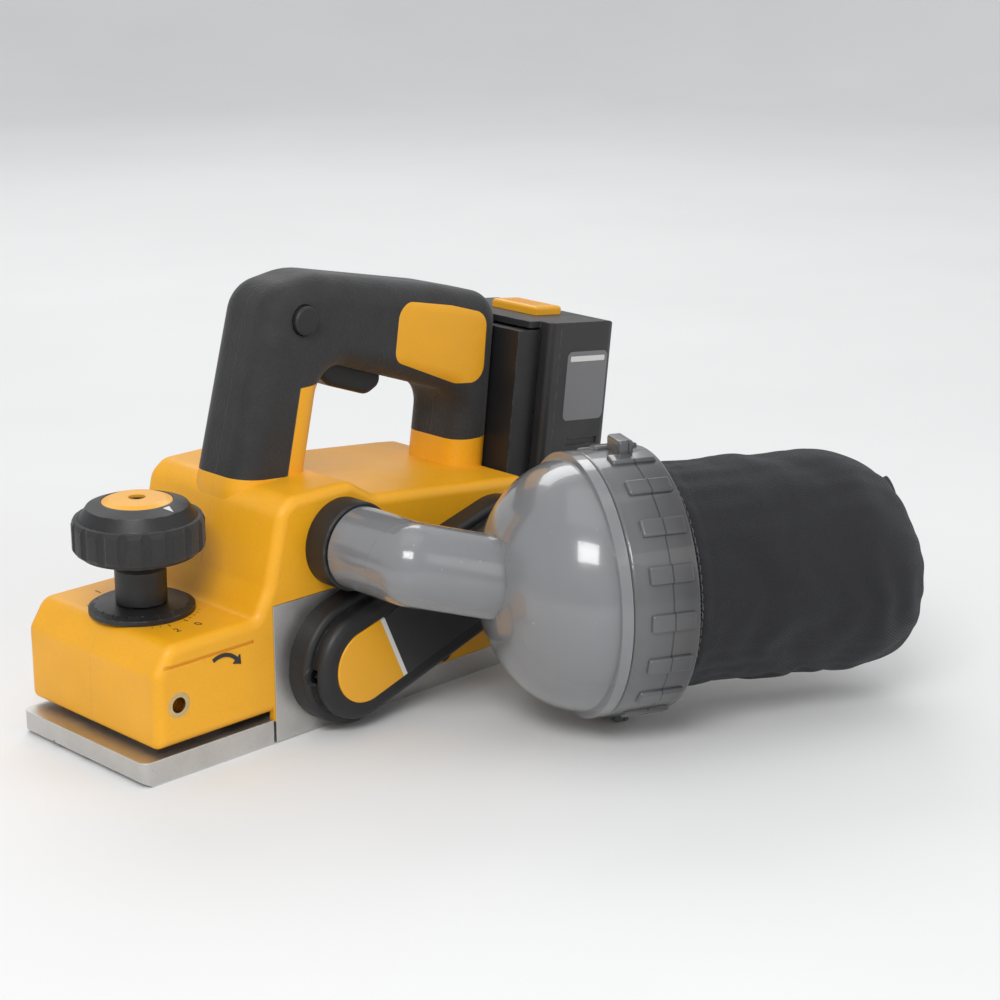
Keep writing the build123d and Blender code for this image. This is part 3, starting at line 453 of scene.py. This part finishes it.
BAG_LOW, BAG_HIGH = extent_along("dust_bag")
BAG_RADIUS = (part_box("dust_bag")[1][2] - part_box("dust_bag")[0][2]) / 2
AROUND, ALONG = 160, 84
HEM = 0.011
END_INSET = 0.0025      # room for the cloth's bulge at the closed end
PRESSURE_FRAMES = 20
SEAM_OFFSET = 0.0026    # from the seam to the stitches beside it


def bag_profile(t, angle):
    """Radius, place along the bag and cloth length, for t from 0 at the ring to 1 at the end's middle."""
    corner = BAG_RADIUS * (0.62 + 0.2 * math.cos(angle))
    end = BAG_HIGH - END_INSET
    straight, arc, flat = end - BAG_LOW - corner, math.pi / 2 * corner, BAG_RADIUS - corner
    d = t * (straight + arc + flat)
    if d < straight:
        return BAG_RADIUS, BAG_LOW + d, d
    if d < straight + arc:
        a = (d - straight) / corner
        return BAG_RADIUS - corner + corner * math.cos(a), end - corner + corner * math.sin(a), d
    return max(0.0, straight + arc + flat - d), end, d


def bag_mesh():
    """Grid of the sewn bag before it is blown up, in the bag's own frame, with cloth lengths as UVs."""
    verts, faces, uvs = [], [], []
    for row in range(ALONG):
        for k in range(AROUND):
            angle = 2 * math.pi * k / AROUND
            radius, z, d = bag_profile(row / ALONG, angle)
            shrink = 0.96 + 0.03 * max(0.0, 1 - d / 0.004)
            verts.append(Vector((radius * shrink * math.cos(angle), radius * shrink * math.sin(angle), z)))
            uvs.append((k / AROUND * 2 * math.pi * BAG_RADIUS, d))
    verts.append(Vector((0, 0, BAG_HIGH - END_INSET)))
    uvs.append((0, uvs[-1][1]))
    for row in range(ALONG - 1):
        for k in range(AROUND):
            a, b = row * AROUND, (row + 1) * AROUND
            faces.append((a + k, a + (k + 1) % AROUND, b + (k + 1) % AROUND, b + k))
    last = (ALONG - 1) * AROUND
    for k in range(AROUND):
        faces.append((last + k, last + (k + 1) % AROUND, len(verts) - 1))
    return verts, faces, uvs


def blow_up(piece, pinned, cap):
    """Runs a short pressure cloth simulation, keeps its result within cap, and leaves no modifier."""
    group = piece.vertex_groups.new(name="held")
    group.add(pinned, 1.0, "REPLACE")
    cloth = piece.modifiers.new("cloth", "CLOTH")
    settings = cloth.settings
    settings.quality = 6
    settings.mass = 0.12
    settings.use_pressure = True
    settings.uniform_pressure_force = 2.2
    settings.tension_stiffness = settings.compression_stiffness = 28
    settings.shear_stiffness = 10
    settings.bending_stiffness = 0.6
    settings.vertex_group_mass = "held"
    settings.effector_weights.gravity = 0.25
    cloth.collision_settings.use_collision = False
    cloth.collision_settings.use_self_collision = False
    rest = [v.co.copy() for v in piece.data.vertices]
    scene = bpy.context.scene
    scene.frame_start, scene.frame_end = 1, PRESSURE_FRAMES
    cloth.point_cache.frame_start, cloth.point_cache.frame_end = 1, PRESSURE_FRAMES
    for frame_number in range(1, PRESSURE_FRAMES + 1):
        scene.frame_set(frame_number)
    graph = bpy.context.evaluated_depsgraph_get()
    moved = [v.co.copy() for v in piece.evaluated_get(graph).data.vertices]
    piece.modifiers.clear()
    piece.vertex_groups.clear()
    scene.frame_set(1)
    for vert, old, new in zip(piece.data.vertices, rest, moved):
        step = new - old
        if step.length > cap:
            step *= cap / step.length
        vert.co = old + step


# How far each kind of crease stands out.
GATHER_DEPTH, DENT_DEPTH, LINE_DEPTH = 0.0006, 0.0017, 0.0006
FOLD_DEPTH, BAND_DEPTH, HEM_DEPTH = 0.00075, 0.0005, 0.0011
GATHERS_ROUND, GATHER_FADE, CREASE_FADE = 26, 0.012, 0.02
FOLD_LENGTH, BAND_LENGTH = 0.0034, 0.0061
LOW_SIDE_FROM = 0.9     # radians from the top, past which the cloth hangs in folds
CALM_CENTRE = 0.03      # radius at the end's middle inside which the creases die out


def crease(point, d, angle):
    """How far the cloth stands out at a point: gathers at the ring, dents, drag lines and folds below."""
    away = min(1.0, max(0.0, (d - HEM) / CREASE_FADE))
    dying = math.exp(-max(0.0, d - HEM) / GATHER_FADE)
    gathers = math.cos(angle * GATHERS_ROUND + 1.1 * math.sin(3 * angle)) * dying * GATHER_DEPTH * away ** 0.3
    dents = noise.noise(point * 17 + Vector((3.1, 0, 7.7))) * DENT_DEPTH * away
    off_centre = min(1.0, (math.hypot(point.x, point.y) / CALM_CENTRE) ** 2)
    lines = noise.noise(Vector((angle * 7.0, d * 34.0, 1.5))) * LINE_DEPTH * away * off_centre
    low_side = max(0.0, math.sin(abs(angle) - LOW_SIDE_FROM)) if abs(angle) > LOW_SIDE_FROM else 0.0
    wander = noise.noise(Vector((angle * 1.7, d * 20, 9.0)))
    fold_wave = math.sin(d / FOLD_LENGTH + 5 * wander + 1.3 * math.sin(2 * angle))
    folds = fold_wave * FOLD_DEPTH * low_side * away * off_centre
    bands = math.sin(d / BAND_LENGTH + 3 * wander) * BAND_DEPTH * away * off_centre
    hem = HEM_DEPTH * (1.0 if d < HEM else max(0.0, 1 - (d - HEM) / 0.0012))
    return gathers + dents + lines + folds + bands + hem


def sweep(rows, profile, closed=False):
    """Verts and faces of a strip: rows are (point, out, side), the profile (sideways, outward) pairs."""
    verts, faces, n = [], [], len(profile)
    for point, out, side in rows:
        verts += [point + side * across + out * up for across, up in profile]
    for i in range(len(rows) if closed else len(rows) - 1):
        a, b = i * n, ((i + 1) % len(rows)) * n
        faces += [(a + k, a + (k + 1) % n, b + (k + 1) % n, b + k) for k in range(n)]
    if not closed:
        faces += [tuple(reversed(range(n))), tuple((len(rows) - 1) * n + k for k in range(n))]
    return verts, faces


def thread_run(name, points, outs, body, stitch=0.0024, gap=0.0012, radius=0.00028):
    """Stitches laid along a line of points on the cloth, as one mesh."""
    verts, faces = [], []
    lengths = [0.0]
    for a, b in zip(points, points[1:]):
        lengths.append(lengths[-1] + (b - a).length)

    def at(distance):
        distance = min(max(distance, 0.0), lengths[-1])
        i = next(i for i in range(len(lengths) - 1) if lengths[i + 1] >= distance)
        f = (distance - lengths[i]) / max(1e-9, lengths[i + 1] - lengths[i])
        return points[i].lerp(points[i + 1], f), outs[i].lerp(outs[i + 1], f).normalized()

    start = 0.0
    while start + stitch < lengths[-1]:
        bend = []
        for f, lift in ((0, -0.0003), (0.18, 0.00022), (0.5, 0.0003), (0.82, 0.00022), (1, -0.0003)):
            point, out = at(start + f * stitch)
            bend.append(point + out * lift)
        more_verts, more_faces = tube_along(bend, radius, 6)
        faces += [tuple(i + len(verts) for i in face) for face in more_faces]
        verts += more_verts
        start += stitch + gap
    return make_piece(name, verts, faces, MATERIALS["thread"], body, "bag_cloth")


def lay_threads(bag, uvs):
    """UVs in metres of cloth: along and round the side, and straight across the end panel."""
    layer = bag.data.uv_layers.new(name="cloth_metres")
    for loop in bag.data.loops:
        layer.data[loop.index].uv = uvs[loop.vertex_index]
    for polygon in bag.data.polygons:
        us = [layer.data[i].uv[0] for i in polygon.loop_indices]
        if abs(polygon.normal.z) > 0.75:
            for i in polygon.loop_indices:
                layer.data[i].uv = bag.data.vertices[bag.data.loops[i].vertex_index].co.yx
        elif max(us) - min(us) > BAG_RADIUS:
            for i in polygon.loop_indices:
                if layer.data[i].uv[0] < BAG_RADIUS:
                    layer.data[i].uv[0] += 2 * math.pi * BAG_RADIUS


def smoothed(piece):
    """Adds one level of subdivision and applies the piece's modifiers."""
    smooth = piece.modifiers.new("smooth", "SUBSURF")
    smooth.levels = smooth.render_levels = 1
    apply_modifiers(piece)


SAG, SAG_LENGTH, DRAWN_IN = 0.0016, 0.16, 0.0006
CLOTH_THICK = 0.0009
SHIFT_CAP = 0.004       # most that the pressure may move the cloth


def build_cloth():
    """The bag's shell in the place of the plain solid. Returns its grid of points and their normals."""
    verts, faces, uvs = bag_mesh()
    bag = make_piece("bag_cloth_shell", verts, faces, MATERIALS["bag_cloth"], "bag_ring", "bag_cloth")
    lay_threads(bag, uvs)
    blow_up(bag, list(range(AROUND * 2)), SHIFT_CAP)
    normals = [v.normal.copy() for v in bag.data.vertices]
    for index, vert in enumerate(bag.data.vertices):
        angle = math.atan2(vert.co.y, vert.co.x)
        d = uvs[index][1]
        sag = -SAG * math.sin(math.pi * min(1.0, d / SAG_LENGTH)) * (0.4 + 0.6 * max(0.0, -math.cos(angle)))
        relief = crease(vert.co.copy(), d, angle) - DRAWN_IN * min(1.0, d / CREASE_FADE)
        vert.co += normals[index] * relief + Vector((sag, 0, 0))
    bag.data.transform(BAG_FRAME)
    bag.data.update()
    grid = [v.co.copy() for v in bag.data.vertices]
    outs = [v.normal.copy() for v in bag.data.vertices]
    thick = bag.modifiers.new("thickness", "SOLIDIFY")
    thick.thickness = CLOTH_THICK
    thick.offset = -1
    smoothed(bag)
    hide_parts("dust_bag")
    return grid, outs


def build_seam(grid, outs):
    """Taped seam along the bottom, round the corner and up the end, with a row of stitches on either side."""
    low = [row * AROUND + AROUND // 2 for row in range(2, ALONG)]
    high = [row * AROUND for row in range(ALONG - 1, ALONG * 3 // 4, -1)]
    path = low[::2] + [len(grid) - 1] + high[::2]
    corner_at = len(low) // 2 * 0.62
    rows = []
    for i, index in enumerate(path):
        ahead = grid[path[min(i + 1, len(path) - 1)]] - grid[path[max(i - 1, 0)]]
        out = outs[index]
        side = ahead.normalized().cross(out).normalized()
        wobble = noise.noise(grid[index] * 60)
        corner = max(0.0, 1 - abs(i - corner_at) / 3)
        rows.append((grid[index] + side * wobble * 0.0006, out * (1 + 0.2 * wobble + 0.6 * corner), side))
    flap_side = [(0.0008, 0.0027), (0.0011, 0.0012), (0.0012, -0.0008)]
    flap = [(-across, up) for across, up in reversed(flap_side)] + [(0.0, 0.0031)] + flap_side
    tape = MATERIALS["thread_tape"]
    smoothed(make_piece("bag_seam_flap", *sweep(rows, flap), tape, "bag_ring", "bag_cloth"))
    for side_sign, name in ((-1, "bag_seam_stitches_left"), (1, "bag_seam_stitches_right")):
        line = [point + side * side_sign * SEAM_OFFSET for point, out, side in rows]
        thread_run(name, line, [out for point, out, side in rows], "bag_ring")


def build_hem(grid, outs):
    """Two rings of stitches round the hem behind the ring."""
    for row_number, name in ((1, "bag_hem_stitches_front"), (4, "bag_hem_stitches_rear")):
        ring = [row_number * AROUND + k % AROUND for k in range(AROUND + 1)]
        thread_run(name, [grid[i] for i in ring], [outs[i] for i in ring], "bag_ring", 0.0026, 0.0014)


CLOTH_GRID, CLOTH_OUTS = build_cloth()
build_seam(CLOTH_GRID, CLOTH_OUTS)
build_hem(CLOTH_GRID, CLOTH_OUTS)


# ---------------------------------------------------------------- small printed and moulded trim
def facing(origin, across, normal):
    """Matrix whose local z is the normal and whose local x is across."""
    z = Vector(normal).normalized()
    x = (Vector(across) - z * Vector(across).dot(z)).normalized()
    y = z.cross(x)
    matrix = Matrix((x, y, z)).transposed().to_4x4()
    matrix.translation = Vector(origin)
    return matrix


def rounded(width, height, radius, steps=5):
    points = []
    for cx, cy, start in ((1, 1, 0), (-1, 1, 90), (-1, -1, 180), (1, -1, 270)):
        for k in range(steps + 1):
            a = math.radians(start + 90 * k / steps)
            points.append((cx * (width / 2 - radius) + radius * math.cos(a),
                           cy * (height / 2 - radius) + radius * math.sin(a)))
    return points


def plate(name, points, thick, matrix, material, body, slot, chamfer=0.00012):
    """Thin prism with a softened upper rim, standing on the plane z = 0 of its matrix."""
    cx = sum(p[0] for p in points) / len(points)
    cy = sum(p[1] for p in points) / len(points)
    span = max(max(abs(p[0] - cx), abs(p[1] - cy)) for p in points)
    inset = 1 - chamfer / span
    levels = [(1.0, -0.0002), (1.0, thick - chamfer), (inset, thick)]
    verts = [Vector((cx + (x - cx) * f, cy + (y - cy) * f, z)) for f, z in levels for x, y in points]
    n = len(points)
    faces = [(a * n + k, a * n + (k + 1) % n, (a + 1) * n + (k + 1) % n, (a + 1) * n + k)
             for a in (0, 1) for k in range(n)]
    faces += [tuple(2 * n + k for k in range(n)), tuple(reversed(range(n)))]
    return make_piece(name, verts, faces, material, body, slot, smooth=False, matrix=matrix)


def joined(name, shapes, material, body, slot):
    """Several outlines, each (points, thickness, matrix), raised as one mesh."""
    verts, faces = [], []
    for points, thick, matrix in shapes:
        n, base = len(points), len(verts)
        verts += [matrix @ Vector((x, y, z)) for z in (-0.0001, thick) for x, y in points]
        faces += [tuple(base + n + k for k in range(n)), tuple(base + k for k in reversed(range(n)))]
        faces += [(base + k, base + (k + 1) % n, base + n + (k + 1) % n, base + n + k) for k in range(n)]
    return make_piece(name, verts, faces, material, body, slot, smooth=False)


def numeral(name, text, size, matrix, material, body):
    curve = bpy.data.curves.new(name, "FONT")
    curve.body = text
    curve.size = size
    curve.align_x, curve.align_y = "CENTER", "CENTER"
    curve.extrude = 0.00008
    curve.resolution_u = 3
    holder = bpy.data.objects.new(name + "_curve", curve)
    bpy.context.scene.collection.objects.link(holder)
    graph = bpy.context.evaluated_depsgraph_get()
    mesh = bpy.data.meshes.new_from_object(holder.evaluated_get(graph))
    bpy.data.objects.remove(holder)
    bpy.data.curves.remove(curve)
    mesh.name = name
    mesh.transform(matrix)
    mesh.materials.clear()
    mesh.materials.append(material)
    piece = bpy.data.objects.new(name, mesh)
    bpy.context.scene.collection.objects.link(piece)
    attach(piece, body)
    return piece


KNOB = Vector(JOINTS["depth_knob_turn"]["pos_m"])
NOSE_TOP = 0.058
SCALE_START, SCALE_TRAVEL = math.radians(280), math.radians(340)
SCALE_INNER, SCALE_OUTER, NUMBER_REACH = 0.0236, 0.0262, 0.0320
FLAT_AHEAD, FLAT_BEHIND = -0.0150, 0.0205    # the nose's flat top, from the knob's axis
DIVISIONS, PER_LONG_MARK = 40, 10
MARK_THICK = 0.00006
CROWN_OUT, CROWN_UP = 0.0184, 0.0154         # the arrow's place on the knob's sloping crown
CROWN_SLOPE = math.radians(18.42)


def build_depth_scale():
    """Divisions and numbers beside the knob where the nose is flat, and an arrow on the knob's crown."""
    black = MATERIALS["black_print"]
    marks = []
    for index in range(DIVISIONS + 1):
        angle = SCALE_START + SCALE_TRAVEL * index / DIVISIONS
        reach = Vector((math.cos(angle), math.sin(angle), 0))
        if not FLAT_AHEAD < reach.x * SCALE_OUTER < FLAT_BEHIND:
            continue
        major = index % PER_LONG_MARK == 0
        length = SCALE_OUTER - SCALE_INNER if major else 0.0014
        centre = Vector((KNOB.x, 0, NOSE_TOP)) + reach * (SCALE_INNER + length / 2)
        outline = rounded(length, 0.0005 if major else 0.00035, 0.00015, 2)
        marks.append((outline, MARK_THICK, facing(centre, reach, (0, 0, 1))))
    joined("depth_scale_marks", marks, black, "planer_body", "yellow_housing")
    for index, text in enumerate(("0", "1", "2")):
        angle = SCALE_START + SCALE_TRAVEL * index / 2
        reach = Vector((math.cos(angle), math.sin(angle), 0))
        centre = Vector((KNOB.x, 0, NOSE_TOP + 0.00002)) + reach * NUMBER_REACH
        place = facing(centre, (-reach.y, reach.x, 0), (0, 0, 1))
        numeral("depth_number_" + text, text, 0.0056, place, black, "planer_body")
    ahead, up = Vector((math.cos(SCALE_START), math.sin(SCALE_START), 0)), Vector((0, 0, 1))
    crown = KNOB + ahead * CROWN_OUT + up * CROWN_UP
    arrow = [(-0.0022, -0.0019), (0.0022, 0.0), (-0.0022, 0.0019)]
    lean, rise = math.sin(CROWN_SLOPE), math.cos(CROWN_SLOPE)
    tilt = facing(crown, ahead * rise - up * lean, ahead * lean + up * rise)
    plate("knob_arrow", arrow, 0.00025, tilt, MATERIALS["white_print"], "depth_knob", "badge_label")


BATTERY_TILT = math.radians(7)
BATTERY = Matrix.Translation((0.026, 0, 0.040)) @ Matrix.Rotation(BATTERY_TILT, 4, "Y")
BATTERY_SIDE, BATTERY_REAR = 0.0375, 0.054      # outer faces of the battery's case
LABEL_DEPTH, LABEL_HEIGHT = 0.0345, 0.0855
GAUGE_HEIGHT, GAUGE_THICK = 0.084, 0.0006


def build_battery_trim():
    """Blank labels, charge gauge and grip ribs on the battery."""
    film, white = MATERIALS["label_film"], MATERIALS["white_print"]
    for side, name in ((-1, "battery_label_left"), (1, "battery_label_right")):
        matrix = BATTERY @ facing((LABEL_DEPTH, side * BATTERY_SIDE, LABEL_HEIGHT), (0, 0, 1), (0, side, 0))
        plate(name, rounded(0.033, 0.0275, 0.003), 0.00015, matrix, film, "battery", "badge_label")
        above = (LABEL_DEPTH, side * (BATTERY_SIDE + 0.00016), LABEL_HEIGHT + 0.013)
        stripe = BATTERY @ facing(above, (0, 0, 1), (0, side, 0))
        outline = rounded(0.0026, 0.0235, 0.0006)
        plate(name + "_stripe", outline, 0.0001, stripe, white, "battery", "badge_label")
    rear = BATTERY @ facing((BATTERY_REAR, 0, GAUGE_HEIGHT), (0, 1, 0), (1, 0, 0))
    gloss = MATERIALS["panel_gloss"]
    panel = rounded(0.036, 0.013, 0.003)
    plate("battery_gauge_panel", panel, GAUGE_THICK, rear, gloss, "battery", "battery_black")
    window = rounded(0.0036, 0.0022, 0.0007)
    for index in range(3):
        lamp = rear @ Matrix.Translation((-0.013 + index * 0.006, 0, GAUGE_THICK))
        name = "battery_lamp_" + str(index)
        plate(name, window, 0.0003, lamp, MATERIALS["lamp"], "battery", "badge_label")
    press = rear @ Matrix.Translation((0.0105, 0, GAUGE_THICK))
    button = rounded(0.0085, 0.0065, 0.003)
    black = MATERIALS["black_plastic"]
    plate("battery_gauge_button", button, 0.0009, press, black, "battery", "battery_black", 0.0004)
    ribs = []
    for row in range(5):
        for side in (-1, 1):
            corner = (BATTERY_REAR, side * 0.0235, 0.026 + row * 0.0065)
            place = BATTERY @ facing(corner, (0, 1, 0), (1, 0, 0))
            ribs.append((rounded(0.014, 0.0024, 0.0011, 3), 0.0009, place))
    joined("battery_rear_ribs", ribs, MATERIALS["battery_black"], "battery", "battery_black")


BODY_SIDE = 0.046       # outer face of the housing, left and right
FILM_THICK = 0.00012
BAR_WIDTHS, BAR_PITCH = (0.041, 0.041, 0.028), 0.0062
ARROW_INNER, ARROW_OUTER = 0.0088, 0.0105
ARROW_FROM, ARROW_SWEEP = math.radians(40), math.radians(80)


def build_body_trim():
    """Blank rating film with grey bars, and a moulded arrow for the cutter's turn, on the housing."""
    rating = facing((-0.091, BODY_SIDE, 0.080), (-1, 0, 0), (0, 1, 0))
    film = MATERIALS["label_film"]
    plate("rating_film", rounded(0.047, 0.021, 0.002), FILM_THICK, rating, film, "planer_body", "badge_label")
    bars = []
    for row, width in enumerate(BAR_WIDTHS):
        left_aligned = (width - BAR_WIDTHS[0]) / 2
        place = rating @ Matrix.Translation((left_aligned, BAR_PITCH - row * BAR_PITCH, FILM_THICK))
        bars.append((rounded(width, 0.0018, 0.0004, 2), 0.00005, place))
    joined("rating_film_bars", bars, MATERIALS["grey_print"], "planer_body", "badge_label")
    steps = 14
    angles = [ARROW_FROM + ARROW_SWEEP * k / steps for k in range(steps + 1)]
    turn = [(ARROW_OUTER * math.cos(a), ARROW_OUTER * math.sin(a)) for a in angles]
    turn += [(ARROW_INNER * math.cos(a), ARROW_INNER * math.sin(a)) for a in reversed(angles)]
    middle = (ARROW_INNER + ARROW_OUTER) / 2
    ax, ay = math.cos(ARROW_FROM), math.sin(ARROW_FROM)
    tip = (middle * ax + 0.0036 * ay, middle * ay - 0.0036 * ax)
    head = [tip, (0.0122 * ax, 0.0122 * ay), (0.0071 * ax, 0.0071 * ay)]
    place = facing((-0.158, -BODY_SIDE, 0.038), (1, 0, 0), (0, -1, 0))
    shapes = [(turn, 0.0004, place), (head, 0.0004, place)]
    joined("turn_arrow", shapes, MATERIALS["black_print"], "planer_body", "yellow_housing")


COIL_RADIUS, WIRE_RADIUS = 0.011, 0.0011
COIL_LOW, COIL_HEIGHT = 0.0375, 0.016


def build_spring():
    """Coil over the front shoe, held at its upper seat; it keeps one length and doesn't follow the shoe's 2 mm of
    lift.
    """
    turns, steps = 4, 28
    points = []
    for i in range(turns * steps + 1):
        angle = 2 * math.pi * i / steps
        rise = COIL_LOW + COIL_HEIGHT * i / (turns * steps)
        points.append(Vector((KNOB.x + COIL_RADIUS * math.cos(angle), COIL_RADIUS * math.sin(angle), rise)))
    wire = tube_along(points, WIRE_RADIUS, 10)
    spring = make_piece("coil_spring", *wire, MATERIALS["steel"], "planer_body", "steel")
    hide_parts("shoe_spring")
    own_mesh(spring)


build_depth_scale()
build_spring()
build_battery_trim()
build_body_trim()


# ---------------------------------------------------------------- floor, light and camera
def area_light(name, location, target, size, power):
    data = bpy.data.lights.new(name, "AREA")
    data.shape = "RECTANGLE"
    data.size, data.size_y = size
    data.energy = power
    lamp = bpy.data.objects.new(name, data)
    lamp.location = location
    lamp.rotation_euler = (Vector(target) - Vector(location)).to_track_quat("-Z", "Y").to_euler()
    bpy.context.scene.collection.objects.link(lamp)


FLOOR_RADIUS, FLOOR_CURVE = 1.9, 0.9


def build_floor():
    """Round sweep of pale paper that is flat under the tool and curves up all round."""
    profile = [(0.5, 0.0), (1.2, 0.0), (FLOOR_RADIUS, 0.0)]
    for degrees in range(8, 73, 8):
        a = math.radians(degrees)
        profile.append((FLOOR_RADIUS + FLOOR_CURVE * math.sin(a), FLOOR_CURVE - FLOOR_CURVE * math.cos(a)))
    segments = 64
    turns = [2 * math.pi * k / segments for k in range(segments)]
    verts = [Vector((0, 0, 0))]
    for radius, z in profile:
        verts += [Vector((radius * math.cos(turn), radius * math.sin(turn), z)) for turn in turns]
    faces = [(0, 1 + k, 1 + (k + 1) % segments) for k in range(segments)]
    for row in range(len(profile) - 1):
        a, b = 1 + row * segments, 1 + (row + 1) * segments
        faces += [(a + k, b + k, b + (k + 1) % segments, a + (k + 1) % segments) for k in range(segments)]
    mesh = bpy.data.meshes.new("floor")
    mesh.from_pydata([tuple(v) for v in verts], [], faces)
    for polygon in mesh.polygons:
        polygon.use_smooth = True
    m = Mat("floor_paper", 0.75)
    m.bump(m.noise(420, 4), 0.00006)
    tone = m.mix(m.span(m.noise(4, 3), 0.3, 0.7), (0.79, 0.79, 0.785), (0.82, 0.82, 0.815))
    mesh.materials.append(m.done(tone, 0.75))
    floor = bpy.data.objects.new("floor", mesh)
    bpy.context.scene.collection.objects.link(floor)


CAMERA_AZIMUTH, CAMERA_ELEVATION = math.radians(-45.0), math.radians(17.0)
CAMERA_DISTANCE, CAMERA_LENS = 1.02, 85


def build_camera():
    low, high = (Vector(corner) for corner in CAD_BOX)
    target = (low + high) / 2 + Vector((0, 0, 0.002))
    level = Vector((math.sin(CAMERA_AZIMUTH), -math.cos(CAMERA_AZIMUTH), 0))
    toward = level * math.cos(CAMERA_ELEVATION) + Vector((0, 0, math.sin(CAMERA_ELEVATION)))
    data = bpy.data.cameras.new("camera")
    data.lens = CAMERA_LENS
    data.dof.use_dof = False
    camera = bpy.data.objects.new("camera", data)
    camera.location = target + toward * CAMERA_DISTANCE
    camera.rotation_euler = (-toward).to_track_quat("-Z", "Y").to_euler()
    bpy.context.scene.collection.objects.link(camera)
    bpy.context.scene.camera = camera


def build_light():
    """Even white room light, a key from the front left, a weak fill, a rim from behind and a top light."""
    world = bpy.data.worlds.new("studio")
    world.use_nodes = True
    background = world.node_tree.nodes["Background"]
    background.inputs[0].default_value = (0.93, 0.94, 0.96, 1)
    background.inputs[1].default_value = 0.68
    bpy.context.scene.world = world
    bpy.context.scene.view_settings.view_transform = "Standard"
    area_light("key", (-1.0, -0.75, 1.15), (0, -0.05, 0.08), (0.7, 0.5), 11)
    area_light("fill", (0.6, -1.5, 0.7), (0, -0.05, 0.08), (1.3, 0.9), 3)
    area_light("rim", (0.7, 1.1, 1.2), (0, 0, 0.1), (1.2, 0.6), 6.5)
    area_light("top", (-0.1, -0.1, 1.6), (0, -0.05, 0.05), (1.2, 1.2), 2.5)


build_floor()
build_light()
build_camera()
